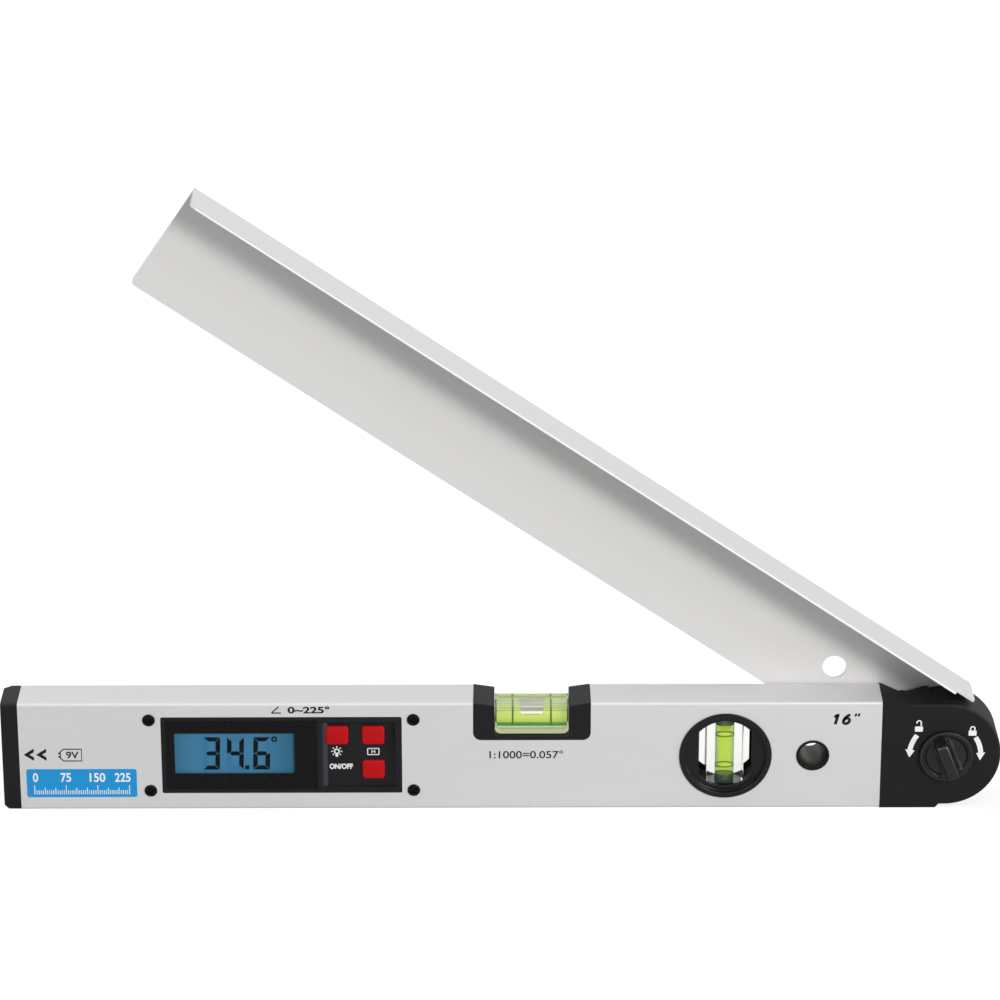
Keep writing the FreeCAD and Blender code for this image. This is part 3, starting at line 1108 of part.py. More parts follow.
def make_arm():
    """The L-section arm: a plate behind the body and a web over its top, with a round hinge end.

    Modelled shut, with the hinge axis at the origin.
    """
    far = "(-dims.arm_start - dims.arm_length)"
    near_end = "(-dims.arm_start)"
    outer = f"({WEB_INNER} + dims.arm_thickness)"
    body = new_body("arm")
    plate = front_sketch(body, "arm_plate_outline", PLATE_FRONT)
    outline(plate, [
        (far, f"-{ARM_BELOW}"), ("0", f"-{ARM_BELOW}"), ("0", ARM_BELOW),
        (near_end, ARM_BELOW), (near_end, outer), (far, outer)])
    pad(body, plate, "dims.arm_thickness", "arm_plate")
    eye = front_sketch(body, "arm_eye", PLATE_FRONT)
    circle(eye, "0", "0", ARM_BELOW)
    pad(body, eye, "dims.arm_thickness", "arm_eye_plate")
    web = front_sketch(body, "arm_web_outline", FRONT)
    rectangle(web, far, WEB_INNER, "dims.arm_length", "dims.arm_thickness")
    ridge = pad(body, web, f"{PLATE_BACK} - {FRONT}", "arm_web")

    start_x, far_x = measure(near_end), measure(far)
    front_y, back_y = measure(FRONT), measure(PLATE_BACK)
    corner = edges_like(ridge, lambda box: near(box.XMin, far_x) and near(box.XMax, far_x)
                        and (near(box.YMax, front_y) or near(box.ZMax, measure(f"-{ARM_BELOW}"))))
    rounded = dress(body, "Fillet", ridge, corner, "dims.arm_corner", "arm_far_corners")
    heel = edges_like(rounded, lambda box: near(box.XMin, start_x) and near(box.XMax, start_x)
                      and near(box.YMin, back_y) and near(box.ZMax, measure(outer))
                      and box.ZLength < box.DiagonalLength + 1 and box.ZLength > 1)
    dress(body, "Fillet", rounded, heel, "dims.arm_end_corner", "arm_heel")
    notch = front_sketch(body, "arm_notch_outline", f"{FRONT} - {EPS}")
    rectangle(notch, f"{near_end} - dims.arm_notch_length", f"{WEB_INNER} - {EPS}",
              f"dims.arm_notch_length + {EPS}", f"dims.arm_thickness + 2 * {EPS}")
    pocket(body, notch, f"dims.cheek_depth + dims.running_gap + {EPS}", "arm_notch")
    holes = front_sketch(body, "arm_holes", PLATE_FRONT)
    circle(holes, "0", "0", "dims.shaft_radius")
    circle(holes, f"{HANG_X} - {PIVOT_X}", "0", "dims.hang_throat + dims.arm_hole_gap")
    pocket(body, holes, "dims.arm_thickness", "arm_hole_cuts")
    ring = "dims.hub_screw_ring"
    seats = front_sketch(body, "arm_screw_holes", PLATE_BACK)
    for angle in (90, 210, 330):
        circle(seats, f"{ring} * cos({angle})", f"{ring} * sin({angle})", "dims.small_head_radius")
    pocket(body, seats, "dims.arm_thickness", "arm_screw_cuts", forwards=True)
    keep(swing(body), "arm_blade")


make_body_extrusion()
make_end_cap()
make_battery()
make_bezel()
make_display()
make_board()
make_buttons()
make_display_screws()
make_level_holder()
make_level_vial()
make_plumb_ring()
make_plumb_vial()
make_hanging_bush()
make_hinge_housing()
make_hub()
make_housing_screws()
make_hinge_parts()
make_knob()
make_arm()

document.recompute()

problems = [thing.Name for thing in document.Objects
            if "Invalid" in thing.State or "Error" in thing.State]
for subpart in subparts:
    if subpart.Shape.isNull() or not subpart.Shape.isValid() or subpart.Shape.Volume <= 0:
        problems.append(subpart.Label)
if problems:
    raise RuntimeError("these objects failed: " + ", ".join(problems))

os.makedirs("parts", exist_ok=True)
for subpart in subparts:
    subpart.Shape.exportStep(os.path.join("parts", subpart.Label + ".step"))
print(len(subparts), "sub-parts written")
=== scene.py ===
import math

import bmesh
import bpy
import numpy as np
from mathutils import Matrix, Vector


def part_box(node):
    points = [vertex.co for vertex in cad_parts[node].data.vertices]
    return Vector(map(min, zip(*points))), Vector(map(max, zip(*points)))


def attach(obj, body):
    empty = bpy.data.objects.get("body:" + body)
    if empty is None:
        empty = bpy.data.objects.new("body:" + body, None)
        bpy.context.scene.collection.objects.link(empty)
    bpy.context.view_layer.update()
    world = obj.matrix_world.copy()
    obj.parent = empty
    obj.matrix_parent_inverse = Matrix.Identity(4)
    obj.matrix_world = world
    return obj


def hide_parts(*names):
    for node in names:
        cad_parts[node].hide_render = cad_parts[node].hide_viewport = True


# The finish of a digital angle finder: an anodised aluminium body with a display, two spirit vials and
# a hanging hole, and an L-section arm on a lockable hinge.
# Lengths are millimetres until a mesh is made. X runs along the body towards the hinge, Y from the
# front face to the back, Z up.

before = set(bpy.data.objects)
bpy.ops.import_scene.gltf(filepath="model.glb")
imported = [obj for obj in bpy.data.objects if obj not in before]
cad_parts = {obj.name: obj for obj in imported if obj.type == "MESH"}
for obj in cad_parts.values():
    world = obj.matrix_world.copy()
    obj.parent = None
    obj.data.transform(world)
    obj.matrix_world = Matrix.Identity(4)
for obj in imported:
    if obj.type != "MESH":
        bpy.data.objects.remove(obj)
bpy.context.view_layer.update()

MM = 0.001
FACET_ANGLE = math.radians(32)      # edges sharper than this stay crisp
STANDING_HEIGHT = 0.02              # edges below this are the ones a piece stands on
REST_ANGLE = math.radians(34.3)     # arm above the body
KNOB_ANGLE = math.radians(-21.5)    # grip bar of the knob, from upright


# ---- places taken from the frame -----------------------------------------------------------------

def span(node):
    """Lowest and highest corner of a CAD piece, in millimetres."""
    low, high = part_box(node)
    return np.array(low) / MM, np.array(high) / MM


def middle(node):
    """Centre of a CAD piece, in millimetres."""
    low, high = span(node)
    return (low + high) / 2


BODY_LOW, BODY_HIGH = span("body_extrusion")
FRONT = BODY_LOW[1]
BACK = BODY_HIGH[1]
PIVOT = middle("pivot_bush")
BEZEL_LOW = span("display_bezel")[0]
LENS_LOW, LENS_HIGH = span("display_lens")
CRYSTAL_LOW, CRYSTAL_HIGH = span("lcd_panel")
KNOB_LOW, KNOB_HIGH = span("lock_knob")


# ---- surfaces ------------------------------------------------------------------------------------

def patch(rows, around=True, caps=(True, True)):
    """Points and faces of a grid of points, rows by columns.

    Each cell between two rows is one face; around closes every row into a ring, and caps closes the
    first and last ring with one face each.
    """
    rows = np.asarray(rows, float)
    index = np.arange(rows.shape[0] * rows.shape[1]).reshape(rows.shape[:2])
    left = index if around else index[:, :-1]
    right = np.roll(index, -1, axis=1) if around else index[:, 1:]
    cells = np.stack([left[:-1], right[:-1], right[1:], left[1:]], axis=-1).reshape(-1, 4)
    faces = cells.tolist()
    faces += [index[0][::-1].tolist()] if caps[0] else []
    faces += [index[-1].tolist()] if caps[1] else []
    return rows.reshape(-1, 3), faces


def rounded_outline(half_width, half_height, corner, count=32):
    """A rounded rectangle: the centre of each corner's arc plus a turning radius of the corner."""
    angle = (np.arange(count) + 0.5) * 2 * np.pi / count
    turn = np.stack([np.cos(angle), np.sin(angle)], axis=1)
    return np.sign(turn) * (np.array([half_width, half_height]) - corner) + corner * turn


def plate(outline, front, back):
    """A flat plate: one outline of X and Z places at the front and the same one at the back."""
    outline = np.asarray(outline, float)
    layers = [np.insert(outline, 1, depth, axis=1) for depth in (front, back)]
    return patch(layers)


def ribbon(path, width, front, back, closed=False):
    """A stroke of even width: each point of the path plus and minus half the width along its normal."""
    path = np.asarray(path, float)
    if closed:
        ahead = np.roll(path, -1, axis=0) - np.roll(path, 1, axis=0)
    else:
        ahead = np.gradient(path, axis=0)
    ahead /= np.linalg.norm(ahead, axis=1, keepdims=True)
    normal = np.stack([-ahead[:, 1], ahead[:, 0]], axis=1) * width / 2
    sides = [(path + normal, front), (path - normal, front), (path - normal, back), (path + normal, back)]
    rows = np.stack([np.insert(points, 1, depth, axis=1) for points, depth in sides], axis=1)
    if closed:
        return patch(np.concatenate([rows, rows[:1]]), caps=(False, False))
    return patch(rows)


def arc(centre, radius, start, stop, count=24):
    """Points of a circle between two angles in degrees."""
    angle = np.radians(np.linspace(start, stop, count))
    return np.asarray(centre) + radius * np.stack([np.cos(angle), np.sin(angle)], axis=1)


def turned(profile, centre, count=64, axis="Y"):
    """A turned form: every radius and place of the profile swept round a line along an axis."""
    profile = np.asarray(profile, float)
    angle = np.arange(count) * 2 * np.pi / count
    across, up = (profile[:, :1] * ring for ring in (np.cos(angle), np.sin(angle)))
    along = np.repeat(profile[:, 1:], count, axis=1)
    order = {"X": (along, across, up), "Y": (across, along, up), "Z": (across, up, along)}[axis]
    return patch(np.stack(order, axis=-1) + np.asarray(centre, float))


def pillow(centre, half_width, half_height, corner, face, back, edge, crown):
    """A key cap: straight sides, a rounded edge that turns in over a quarter circle, and a low crown.

    The crown rises as one minus the square of the distance from the rim, up to its height.
    """
    turn = np.linspace(0, np.pi / 2, 7)
    inset = np.concatenate([[0], edge * (1 - np.cos(turn))])
    depth = np.concatenate([[back], face + crown + edge * (1 - np.sin(turn))])
    rings = [np.insert(rounded_outline(half_width - i, half_height - i, corner - i), 1, d, axis=1)
             for i, d in zip(inset, depth)]
    last = rounded_outline(half_width - edge, half_height - edge, corner - edge)
    shrink = np.linspace(1, 0.03, 9)[1:]
    rings += [np.insert(last * s, 1, face + crown * s ** 2, axis=1) for s in shrink]
    points, faces = patch(np.stack(rings))
    return points + np.array([centre[0], 0, centre[1]]), faces


def ease(value):
    """A soft step from 0 to 1: three times the square less twice the cube, held outside 0 to 1."""
    value = np.clip(value, 0, 1)
    return value * value * (3 - 2 * value)


def turn_about(points, angle, centre):
    """Points turned about a line along Y through a centre."""
    cosine, sine = math.cos(angle), math.sin(angle)
    turn = np.array([[cosine, 0, -sine], [0, 1, 0], [sine, 0, cosine]])
    return (points - centre) @ turn + centre


def sunk_disc(sides, radii, height, out, centre, count=96):
    """A round piece along Y: turned sides, then a face whose height depends on the place on it.

    Sides are pairs of radius and height. The face has a ring of points at each further radius, at
    the height that a function of X and Z gives. Out is -1 for a face that looks to the front.
    """
    angle = np.arange(count) * 2 * np.pi / count
    radius = np.concatenate([[r for r, _ in sides], radii])[:, None]
    across, up = radius * np.cos(angle), radius * np.sin(angle)
    rise = height(across, up)
    rise[:len(sides)] = np.array([h for _, h in sides])[:, None]
    return patch(np.stack([across, out * rise, up], axis=-1) + np.asarray(centre, float))


def letters(text, low, high, front, back, weight=0.0):
    """Lettering fitted to a box of X and Z places; weight thickens its strokes."""
    curve = bpy.data.curves.new("letters", "FONT")
    curve.body = text
    curve.offset = weight
    curve.extrude = 0.1
    writing = bpy.data.objects.new("letters", curve)
    bpy.context.scene.collection.objects.link(writing)
    bpy.context.view_layer.update()
    mesh = bpy.data.meshes.new_from_object(writing)
    points = np.empty(len(mesh.vertices) * 3)
    mesh.vertices.foreach_get("co", points)
    faces = [list(face.vertices) for face in mesh.polygons]
    bpy.data.objects.remove(writing)
    flat = points.reshape(-1, 3)
    flat = (flat - flat.min(axis=0)) / np.ptp(flat, axis=0)
    across = low[0] + flat[:, 0] * (high[0] - low[0])
    up = low[1] + flat[:, 1] * (high[1] - low[1])
    depth = back + flat[:, 2] * (front - back)
    return np.stack([across, depth, up], axis=1), faces


def build(name, patches, material, body, nodes=()):
    """One object from patches in millimetres: welded, faces outward, crisp only at real edges."""
    points, faces, start = [], [], 0
    for part_points, part_faces in patches:
        points.append(part_points * MM)
        faces += [[corner + start for corner in face] for face in part_faces]
        start += len(part_points)
    mesh = bpy.data.meshes.new(name)
    mesh.from_pydata(np.concatenate(points).tolist(), [], faces)
    return set_up(name, mesh, material, body, nodes)


def set_up(name, mesh, material, body, nodes=(), weld=1e-7):
    """Weld a mesh, point its faces outward, and make it a finished piece of a body."""
    shape = bmesh.new()
    shape.from_mesh(mesh)
    bmesh.ops.remove_doubles(shape, verts=shape.verts, dist=weld)
    bmesh.ops.dissolve_degenerate(shape, edges=shape.edges, dist=weld)
    bmesh.ops.recalc_face_normals(shape, faces=shape.faces)
    shape.to_mesh(mesh)
    shape.free()
    mesh.shade_smooth()
    mesh.set_sharp_from_angle(angle=FACET_ANGLE)
    mesh.materials.clear()
    mesh.materials.append(material)
    piece = bpy.data.objects.new(name, mesh)
    bpy.context.scene.collection.objects.link(piece)
    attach(piece, body)
    if nodes:
        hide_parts(*nodes)
    return piece


def rounded(piece, width, segments=3, foot=None):
    """Round the sharp edges of a piece, by a width in millimetres, and those it stands on by foot.

    With foot, each sharp edge has a weight: one where the piece stands on it, and width over foot
    elsewhere.
    """
    bevel = piece.modifiers.new("rounded edges", "BEVEL")
    bevel.width = (foot or width) * MM
    bevel.segments = segments
    bevel.limit_method = "WEIGHT" if foot else "ANGLE"
    bevel.angle_limit = FACET_ANGLE
    bevel.harden_normals = True
    if foot:
        mesh = piece.data
        heights = np.empty(len(mesh.vertices) * 3)
        mesh.vertices.foreach_get("co", heights)
        ends = np.empty(len(mesh.edges) * 2, int)
        mesh.edges.foreach_get("vertices", ends)
        sharp = np.empty(len(mesh.edges), bool)
        mesh.edges.foreach_get("use_edge_sharp", sharp)
        standing = heights[2::3][ends].reshape(-1, 2).max(axis=1) < STANDING_HEIGHT * MM
        weights = np.where(sharp, np.where(standing, 1.0, width / foot), 0.0)
        mesh.attributes.new("bevel_weight_edge", "FLOAT", "EDGE").data.foreach_set("value", weights)
    return piece


def softened(node, material, body, width, segments=3, foot=None):
    """A copy of a CAD piece as one clean mesh with rounded edges; foot is for those it stands on."""
    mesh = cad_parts[node].data.copy()
    shape = bmesh.new()
    shape.from_mesh(mesh)
    bmesh.ops.remove_doubles(shape, verts=shape.verts, dist=2e-6)
    bmesh.ops.dissolve_limit(shape, angle_limit=math.radians(1.0), verts=shape.verts, edges=shape.edges)
    shape.to_mesh(mesh)
    shape.free()
    piece = set_up(node + "_finish", mesh, material, body, [node], weld=2e-6)
    return rounded(piece, width, segments, foot)


# ---- finishes ------------------------------------------------------------------------------------

def colour(red, green, blue):
    """A colour seen on a screen, 0 to 255, as the linear value that a shader takes."""
    tone = np.array([red, green, blue]) / 255
    linear = np.where(tone <= 0.04045, tone / 12.92, ((tone + 0.055) / 1.055) ** 2.4)
    return (*linear.tolist(), 1.0)


def shade(tone, factor):
    """A tone made darker or lighter by a factor."""
    return (*(min(1.0, channel * factor) for channel in tone[:3]), 1.0)


def wire(tree, kind, inputs=None, **settings):
    """Add a shader node; an input takes a number, a colour or another node's output."""
    item = tree.nodes.new("ShaderNode" + kind)
    for name, value in settings.items():
        setattr(item, name, value)
    for name, value in (inputs or {}).items():
        if isinstance(value, bpy.types.NodeSocket):
            tree.links.new(value, item.inputs[name])
        else:
            item.inputs[name].default_value = value
    return item


def finish(name, tone, roughness, grain=1.0, stretch=(1, 1, 1), turn=0.0, mottle=0.06, rough_spread=0.06,
           bump=0.1, relief=0.02, detail=4.0, **sockets):
    """A material whose colour, roughness and relief follow one grain, given in millimetres.

    stretch lengthens the grain along X, Y and Z, and turn tilts it about Y. The other sockets of the
    shader are set by name, with spaces written as underscores.
    """
    material = bpy.data.materials.new(name)
    material.use_nodes = True
    tree = material.node_tree
    shader = tree.nodes["Principled BSDF"]
    place = wire(tree, "TexCoord").outputs["Object"]
    size = [1 / (grain * MM * s) for s in stretch]
    lined = wire(tree, "Mapping", {"Vector": place, "Rotation": (0, turn, 0)}, vector_type="TEXTURE")
    scaled = wire(tree, "Mapping", {"Vector": lined.outputs["Vector"], "Scale": size})
    noise = wire(tree, "TexNoise", {"Vector": scaled.outputs["Vector"], "Scale": 1.0, "Detail": detail,
                                    "Roughness": 0.6})
    grey = noise.outputs["Fac"]
    tint = wire(tree, "ValToRGB", {"Fac": grey})
    tint.color_ramp.elements[0].position = 0.3
    tint.color_ramp.elements[1].position = 0.7
    tint.color_ramp.elements[0].color = shade(tone, 1 - mottle)
    tint.color_ramp.elements[1].color = shade(tone, 1 + mottle)
    tree.links.new(tint.outputs["Color"], shader.inputs["Base Color"])
    spread = wire(tree, "MapRange", {"Value": grey, "From Min": 0.3, "From Max": 0.7,
                                     "To Min": max(0.02, roughness - rough_spread),
                                     "To Max": roughness + rough_spread})
    tree.links.new(spread.outputs["Result"], shader.inputs["Roughness"])
    if bump:
        relief_node = wire(tree, "Bump", {"Height": grey, "Strength": bump, "Distance": relief * MM})
        tree.links.new(relief_node.outputs["Normal"], shader.inputs["Normal"])
    for socket, value in sockets.items():
        shader.inputs[socket.replace("_", " ")].default_value = value
    return material


ANODISED = dict(grain=0.35, stretch=(60, 1, 1), mottle=0.015, rough_spread=0.04, bump=0.1, relief=0.01,
                Metallic=0.2, Specular_IOR_Level=0.4)
MOULDED = dict(grain=0.22, mottle=0.3, bump=0.3, relief=0.02, Specular_IOR_Level=0.24)
INK = dict(grain=0.3, mottle=0.04, bump=0.1, Specular_IOR_Level=0.2)
BODY_METAL = finish("anodised_body", colour(210, 209, 209), 0.43, **ANODISED)
ARM_METAL = finish("anodised_arm", colour(215, 214, 213), 0.43, turn=REST_ANGLE, **ANODISED)
# near-white edge: partly the paler bare cut metal of the web, partly a painted highlight
CUT_EDGE_PAINTED_HIGHLIGHT = finish("cut_edge_painted_highlight", colour(252, 252, 252), 0.3, turn=REST_ANGLE, **ANODISED)
MOULDED_BLACK = finish("moulded_black", colour(15, 15, 18), 0.55, **MOULDED)
KNOB_BLACK = finish("knob_black", colour(15, 15, 18), 0.26, grain=0.3, mottle=0.2, bump=0.05,
                    Specular_IOR_Level=0.6)
SCREW_BLACK = finish("blackened_screw", colour(10, 10, 11), 0.34, grain=0.2, mottle=0.3, bump=0.2,
                     Specular_IOR_Level=0.15)
RED_KEY = finish("red_key", colour(176, 14, 20), 0.4, grain=0.3, mottle=0.05, bump=0.12,
                 Specular_IOR_Level=0.12)
BLACK_INK = finish("black_ink", colour(22, 22, 24), 0.5, **INK)
WHITE_INK = finish("white_ink", colour(232, 232, 232), 0.5, **INK)
BLUE_INK = finish("blue_ink", colour(30, 142, 204), 0.45, **INK)
LENS_GLASS = finish("lens_glass", colour(8, 9, 11), 0.08, grain=1.5, mottle=0.1, rough_spread=0.02,
                    bump=0.0, Alpha=0.08, Specular_IOR_Level=0.2)
LENS_MASK = finish("lens_mask", colour(15, 15, 17), 0.3, grain=1.2, mottle=0.15, bump=0.03,
                   Specular_IOR_Level=0.15)
SEGMENT_INK = finish("segment_ink", colour(16, 22, 28), 0.5, grain=0.3, mottle=0.1, bump=0.0,
                     Specular_IOR_Level=0.1)
SEGMENT_GHOST = finish("segment_ghost", colour(66, 131, 174), 0.5, grain=0.3, mottle=0.02, bump=0.0,
                       Specular_IOR_Level=0.1)
ACRYLIC = finish("clear_acrylic", colour(252, 254, 250), 0.02, grain=2.0, mottle=0.005,
                 rough_spread=0.01, bump=0.0, Transmission_Weight=1.0, IOR=1.49)
VIAL_CAP = finish("vial_cap", colour(62, 104, 60), 0.3, grain=0.5, mottle=0.1, bump=0.1,
                  Transmission_Weight=0.3)
VIAL_MARK = finish("vial_mark", colour(104, 128, 30), 0.5, grain=0.3, mottle=0.1, bump=0.1,
                   Specular_IOR_Level=0.1)
TINTED_ACRYLIC = finish("tinted_acrylic", colour(236, 240, 224), 0.02, grain=2.0, mottle=0.005,
                        rough_spread=0.01, bump=0.0, Transmission_Weight=1.0, IOR=1.49)
# dark sheet in the foot of the plumb vial's block: painted shade
SHADE_SHEET = finish("painted_shade_sheet", colour(24, 34, 26), 0.3, grain=0.6, mottle=0.3, bump=0.2)
RING_BLACK = finish("ring_black", colour(17, 17, 20), 0.25, grain=0.3, mottle=0.2, bump=0.06,
                    Specular_IOR_Level=0.35)
PLUMB_MARK = finish("plumb_mark", colour(150, 162, 30), 0.5, grain=0.3, mottle=0.1, bump=0.1,
                    Specular_IOR_Level=0.1)
STEEL = finish("bright_steel", colour(190, 190, 190), 0.28, grain=0.2, stretch=(1, 8, 1), mottle=0.05,
               bump=0.2, Metallic=1.0)
BRASS = finish("brass", colour(205, 170, 95), 0.3, grain=0.2, mottle=0.06, bump=0.2, Metallic=1.0)
COPPER = finish("copper", colour(205, 130, 90), 0.3, grain=0.2, mottle=0.08, bump=0.2, Metallic=1.0)
BOARD_GREEN = finish("board_lacquer", colour(28, 92, 52), 0.35, grain=1.6, stretch=(3, 1, 1), mottle=0.18,
                     bump=0.3, relief=0.05)
CHIP_BLACK = finish("chip_case", colour(30, 30, 32), 0.5, grain=0.15, mottle=0.15, bump=0.3)
BATTERY_JACKET = finish("battery_jacket", colour(52, 56, 66), 0.35, grain=0.6, mottle=0.08, bump=0.1)
LEAD_SLEEVE = finish("lead_sleeve", colour(150, 24, 22), 0.4, grain=0.4, mottle=0.06, bump=0.1)
WASHER_FIBRE = finish("washer_fibre", colour(120, 84, 60), 0.7, grain=0.3, mottle=0.2, bump=0.5)
LIGHT_GUIDE = finish("light_guide", colour(235, 240, 245), 0.4, grain=0.5, mottle=0.03, bump=0.1,
                     Transmission_Weight=0.2)


def banded(name, axis, middle_place, half, bands, roughness, glow=0.0, **settings):
    """A finish whose tone changes along one axis, with a fine grain over it.

    Bands are pairs of a place, -1 to 1 about the middle, and a tone.
    """
    material = finish(name, bands[0][1], roughness, **settings)
    tree = material.node_tree
    shader = tree.nodes["Principled BSDF"]
    place = wire(tree, "SeparateXYZ", {"Vector": wire(tree, "TexCoord").outputs["Object"]})
    low, high = (middle_place - half) * MM, (middle_place + half) * MM
    share = wire(tree, "MapRange", {"Value": place.outputs[axis], "From Min": low, "From Max": high})
    ramp = wire(tree, "ValToRGB", {"Fac": share.outputs["Result"]})
    stops = ramp.color_ramp.elements
    while len(stops) < len(bands):
        stops.new(1.0)
    for stop, (spot, tone) in zip(stops, bands):
        stop.position = (spot + 1) / 2
        stop.color = tone
    grain = shader.inputs["Base Color"].links[0].from_socket
    mixed = wire(tree, "Mix", {"Factor": 0.08}, data_type="RGBA")
    tree.links.new(ramp.outputs["Color"], mixed.inputs[6])
    tree.links.new(grain, mixed.inputs[7])
    tree.links.new(mixed.outputs[2], shader.inputs["Base Color"])
    # With glow set, the bands give off their own colour: painted light, as none of these pieces is a lamp.
    tree.links.new(mixed.outputs[2], shader.inputs["Emission Color"])
    shader.inputs["Emission Strength"].default_value = glow
    return material


LEVEL_LOW, LEVEL_HIGH = span("level_vial_liquid")
PLUMB_LOW, PLUMB_HIGH = span("plumb_vial_liquid")
BORE = (PLUMB_HIGH[0] - PLUMB_LOW[0]) / 2
CRYSTAL_BLUE = banded(
    "crystal_blue", "X", (CRYSTAL_LOW[0] + CRYSTAL_HIGH[0]) / 2, (CRYSTAL_HIGH[0] - CRYSTAL_LOW[0]) / 2,
    [(-1.0, colour(66, 126, 160)), (-0.6, colour(74, 140, 180)), (0.4, colour(74, 140, 178)),
     (1.0, colour(58, 110, 140))], 0.5, grain=6.0, mottle=0.03, bump=0.0, Specular_IOR_Level=0.1)
LIQUID = dict(grain=2.5, mottle=0.02, rough_spread=0.02, bump=0.0, IOR=1.36, Transmission_Weight=0.15)
LEVEL_BORE = 5.1                    # radius of the level vial's bore
LEVEL_BORE_Z = 41.95                # height of its middle
# Darker green towards the bottom of the bore is painted shade; the grey line and the darker green line
# near the top are painted reflections. Its glow is partly the dye's fluorescence and partly painted light.
LEVEL_LIQUID_PAINTED_LIGHT = banded(
    "level_liquid", "Z", LEVEL_BORE_Z, LEVEL_BORE,
    [(-1.0, colour(44, 110, 36)), (-0.6, colour(66, 148, 54)), (-0.48, colour(96, 166, 60)),
     (-0.38, colour(194, 212, 108)), (0.1, colour(208, 222, 116)), (0.55, colour(202, 218, 128)),
     (0.66, colour(168, 170, 126)), (0.74, colour(200, 214, 140)), (0.86, colour(150, 184, 96)),
     (0.92, colour(190, 204, 150)), (1.0, colour(190, 200, 158))], 0.14, 0.36, **LIQUID)
# Paler towards both sides of the bore; its glow is partly the dye's fluorescence and partly painted light.
PLUMB_LIQUID = banded(
    "plumb_liquid", "X", (PLUMB_LOW[0] + PLUMB_HIGH[0]) / 2, BORE,
    [(-1.0, colour(150, 178, 128)), (-0.72, colour(178, 202, 120)), (-0.5, colour(196, 220, 78)),
     (0.5, colour(200, 222, 84)), (0.72, colour(180, 206, 120)), (1.0, colour(156, 184, 130))], 0.05,
    0.1, grain=2.5, mottle=0.02, rough_spread=0.02, bump=0.0, IOR=1.0, Transmission_Weight=0.8)
# The bubble's white band is a painted highlight, its darker rim band painted shade and the grey bands
# above painted reflection; its glow is painted light.
BUBBLE = banded(
    "bubble_painted_highlight", "Z", LEVEL_BORE_Z, LEVEL_BORE,
    [(0.24, colour(132, 146, 96)), (0.34, colour(170, 178, 146)), (0.41, colour(250, 250, 248)),
     (0.54, colour(250, 250, 248)), (0.62, colour(170, 166, 168)), (0.72, colour(150, 146, 146)),
     (0.84, colour(178, 176, 178)), (1.0, colour(172, 174, 162))], 0.3, 0.25, grain=2.0, mottle=0.02,
    bump=0.0, Specular_IOR_Level=0.2)
# A pale sheet under the level vial's bore: the dark band just behind its middle is painted shade, and its
# glow is painted light.
VIAL_BED = banded(
    "vial_bed", "Y", 0.0, 7.25,
    [(-1.0, colour(206, 204, 178)), (0.1, colour(202, 200, 170)), (0.16, colour(110, 116, 78)),
     (0.22, colour(110, 116, 78)), (0.3, colour(214, 218, 190)), (1.0, colour(200, 206, 170))], 0.5, 0.5,
    grain=0.6, mottle=0.03, bump=0.1)
HOLE_LINING = banded(
    "hole_lining", "Y", (FRONT + BACK) / 2, (BACK - FRONT) / 2,
    [(-1.0, colour(14, 14, 16)), (-0.8, colour(16, 16, 17)), (-0.4, colour(78, 73, 64)),
     (1.0, colour(100, 93, 81))], 0.3, grain=0.5, mottle=0.08, bump=0.05, Specular_IOR_Level=0.2)

NODE_FINISHES = {
    "body_extrusion": BODY_METAL, "end_cap": MOULDED_BLACK, "battery_9v": BATTERY_JACKET,
    "battery_terminals": STEEL, "battery_snap": MOULDED_BLACK, "battery_leads": LEAD_SLEEVE,
    "display_bezel": MOULDED_BLACK, "display_lens": LENS_GLASS, "lcd_panel": CRYSTAL_BLUE,
    "lcd_backlight": LIGHT_GUIDE, "main_board": BOARD_GREEN, "board_components": CHIP_BLACK,
    "board_screws": STEEL, "switch_domes": COPPER, "button_light": RED_KEY, "button_hold": RED_KEY,
    "button_power": RED_KEY, "display_screws": SCREW_BLACK, "level_vial_holder": MOULDED_BLACK,
    "level_vial_block": TINTED_ACRYLIC, "level_vial_liquid": LEVEL_LIQUID_PAINTED_LIGHT, "level_vial_marks": VIAL_MARK,
    "level_vial_plugs": VIAL_CAP, "plumb_ring_front": RING_BLACK, "plumb_ring_rear": MOULDED_BLACK,
    "plumb_vial_block": ACRYLIC, "plumb_vial_liquid": PLUMB_LIQUID, "plumb_vial_marks": VIAL_MARK,
    "plumb_vial_plugs": VIAL_CAP, "hanging_bush": HOLE_LINING, "hinge_housing": MOULDED_BLACK,
    "housing_screws": STEEL, "pivot_bush": BRASS, "sensor_stator": BOARD_GREEN,
    "sensor_rotor": BOARD_GREEN, "friction_washer": WASHER_FIBRE, "pivot_shaft": STEEL,
    "hinge_hub": MOULDED_BLACK, "hub_screws": STEEL, "arm_blade": ARM_METAL, "lock_knob": KNOB_BLACK,
    "knob_insert": BRASS,
}
for node_name, material in NODE_FINISHES.items():
    for material_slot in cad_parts[node_name].material_slots:
        material_slot.link = "OBJECT"
        material_slot.material = material


# ---- pieces with rounded edges -------------------------------------------------------------------

softened("arm_blade", ARM_METAL, "arm", 0.25)
softened("body_extrusion", BODY_METAL, "body", 0.12, 2, 0.5)
softened("display_bezel", MOULDED_BLACK, "body", 0.2)
softened("hinge_housing", MOULDED_BLACK, "body", 0.35)
softened("hinge_hub", MOULDED_BLACK, "arm", 0.4)
softened("end_cap", MOULDED_BLACK, "end_cap", 0.3)
softened("level_vial_holder", MOULDED_BLACK, "body", 0.3)
softened("plumb_ring_front", RING_BLACK, "body", 0.7, 4)
softened("plumb_ring_rear", MOULDED_BLACK, "body", 0.3)
softened("hanging_bush", HOLE_LINING, "body", 0.25)


# ---- prints --------------------------------------------------------------------------------------

INK_THICKNESS = 0.03            # thickness of a print
PRINT_GAP = 0.01                # print in front of its face


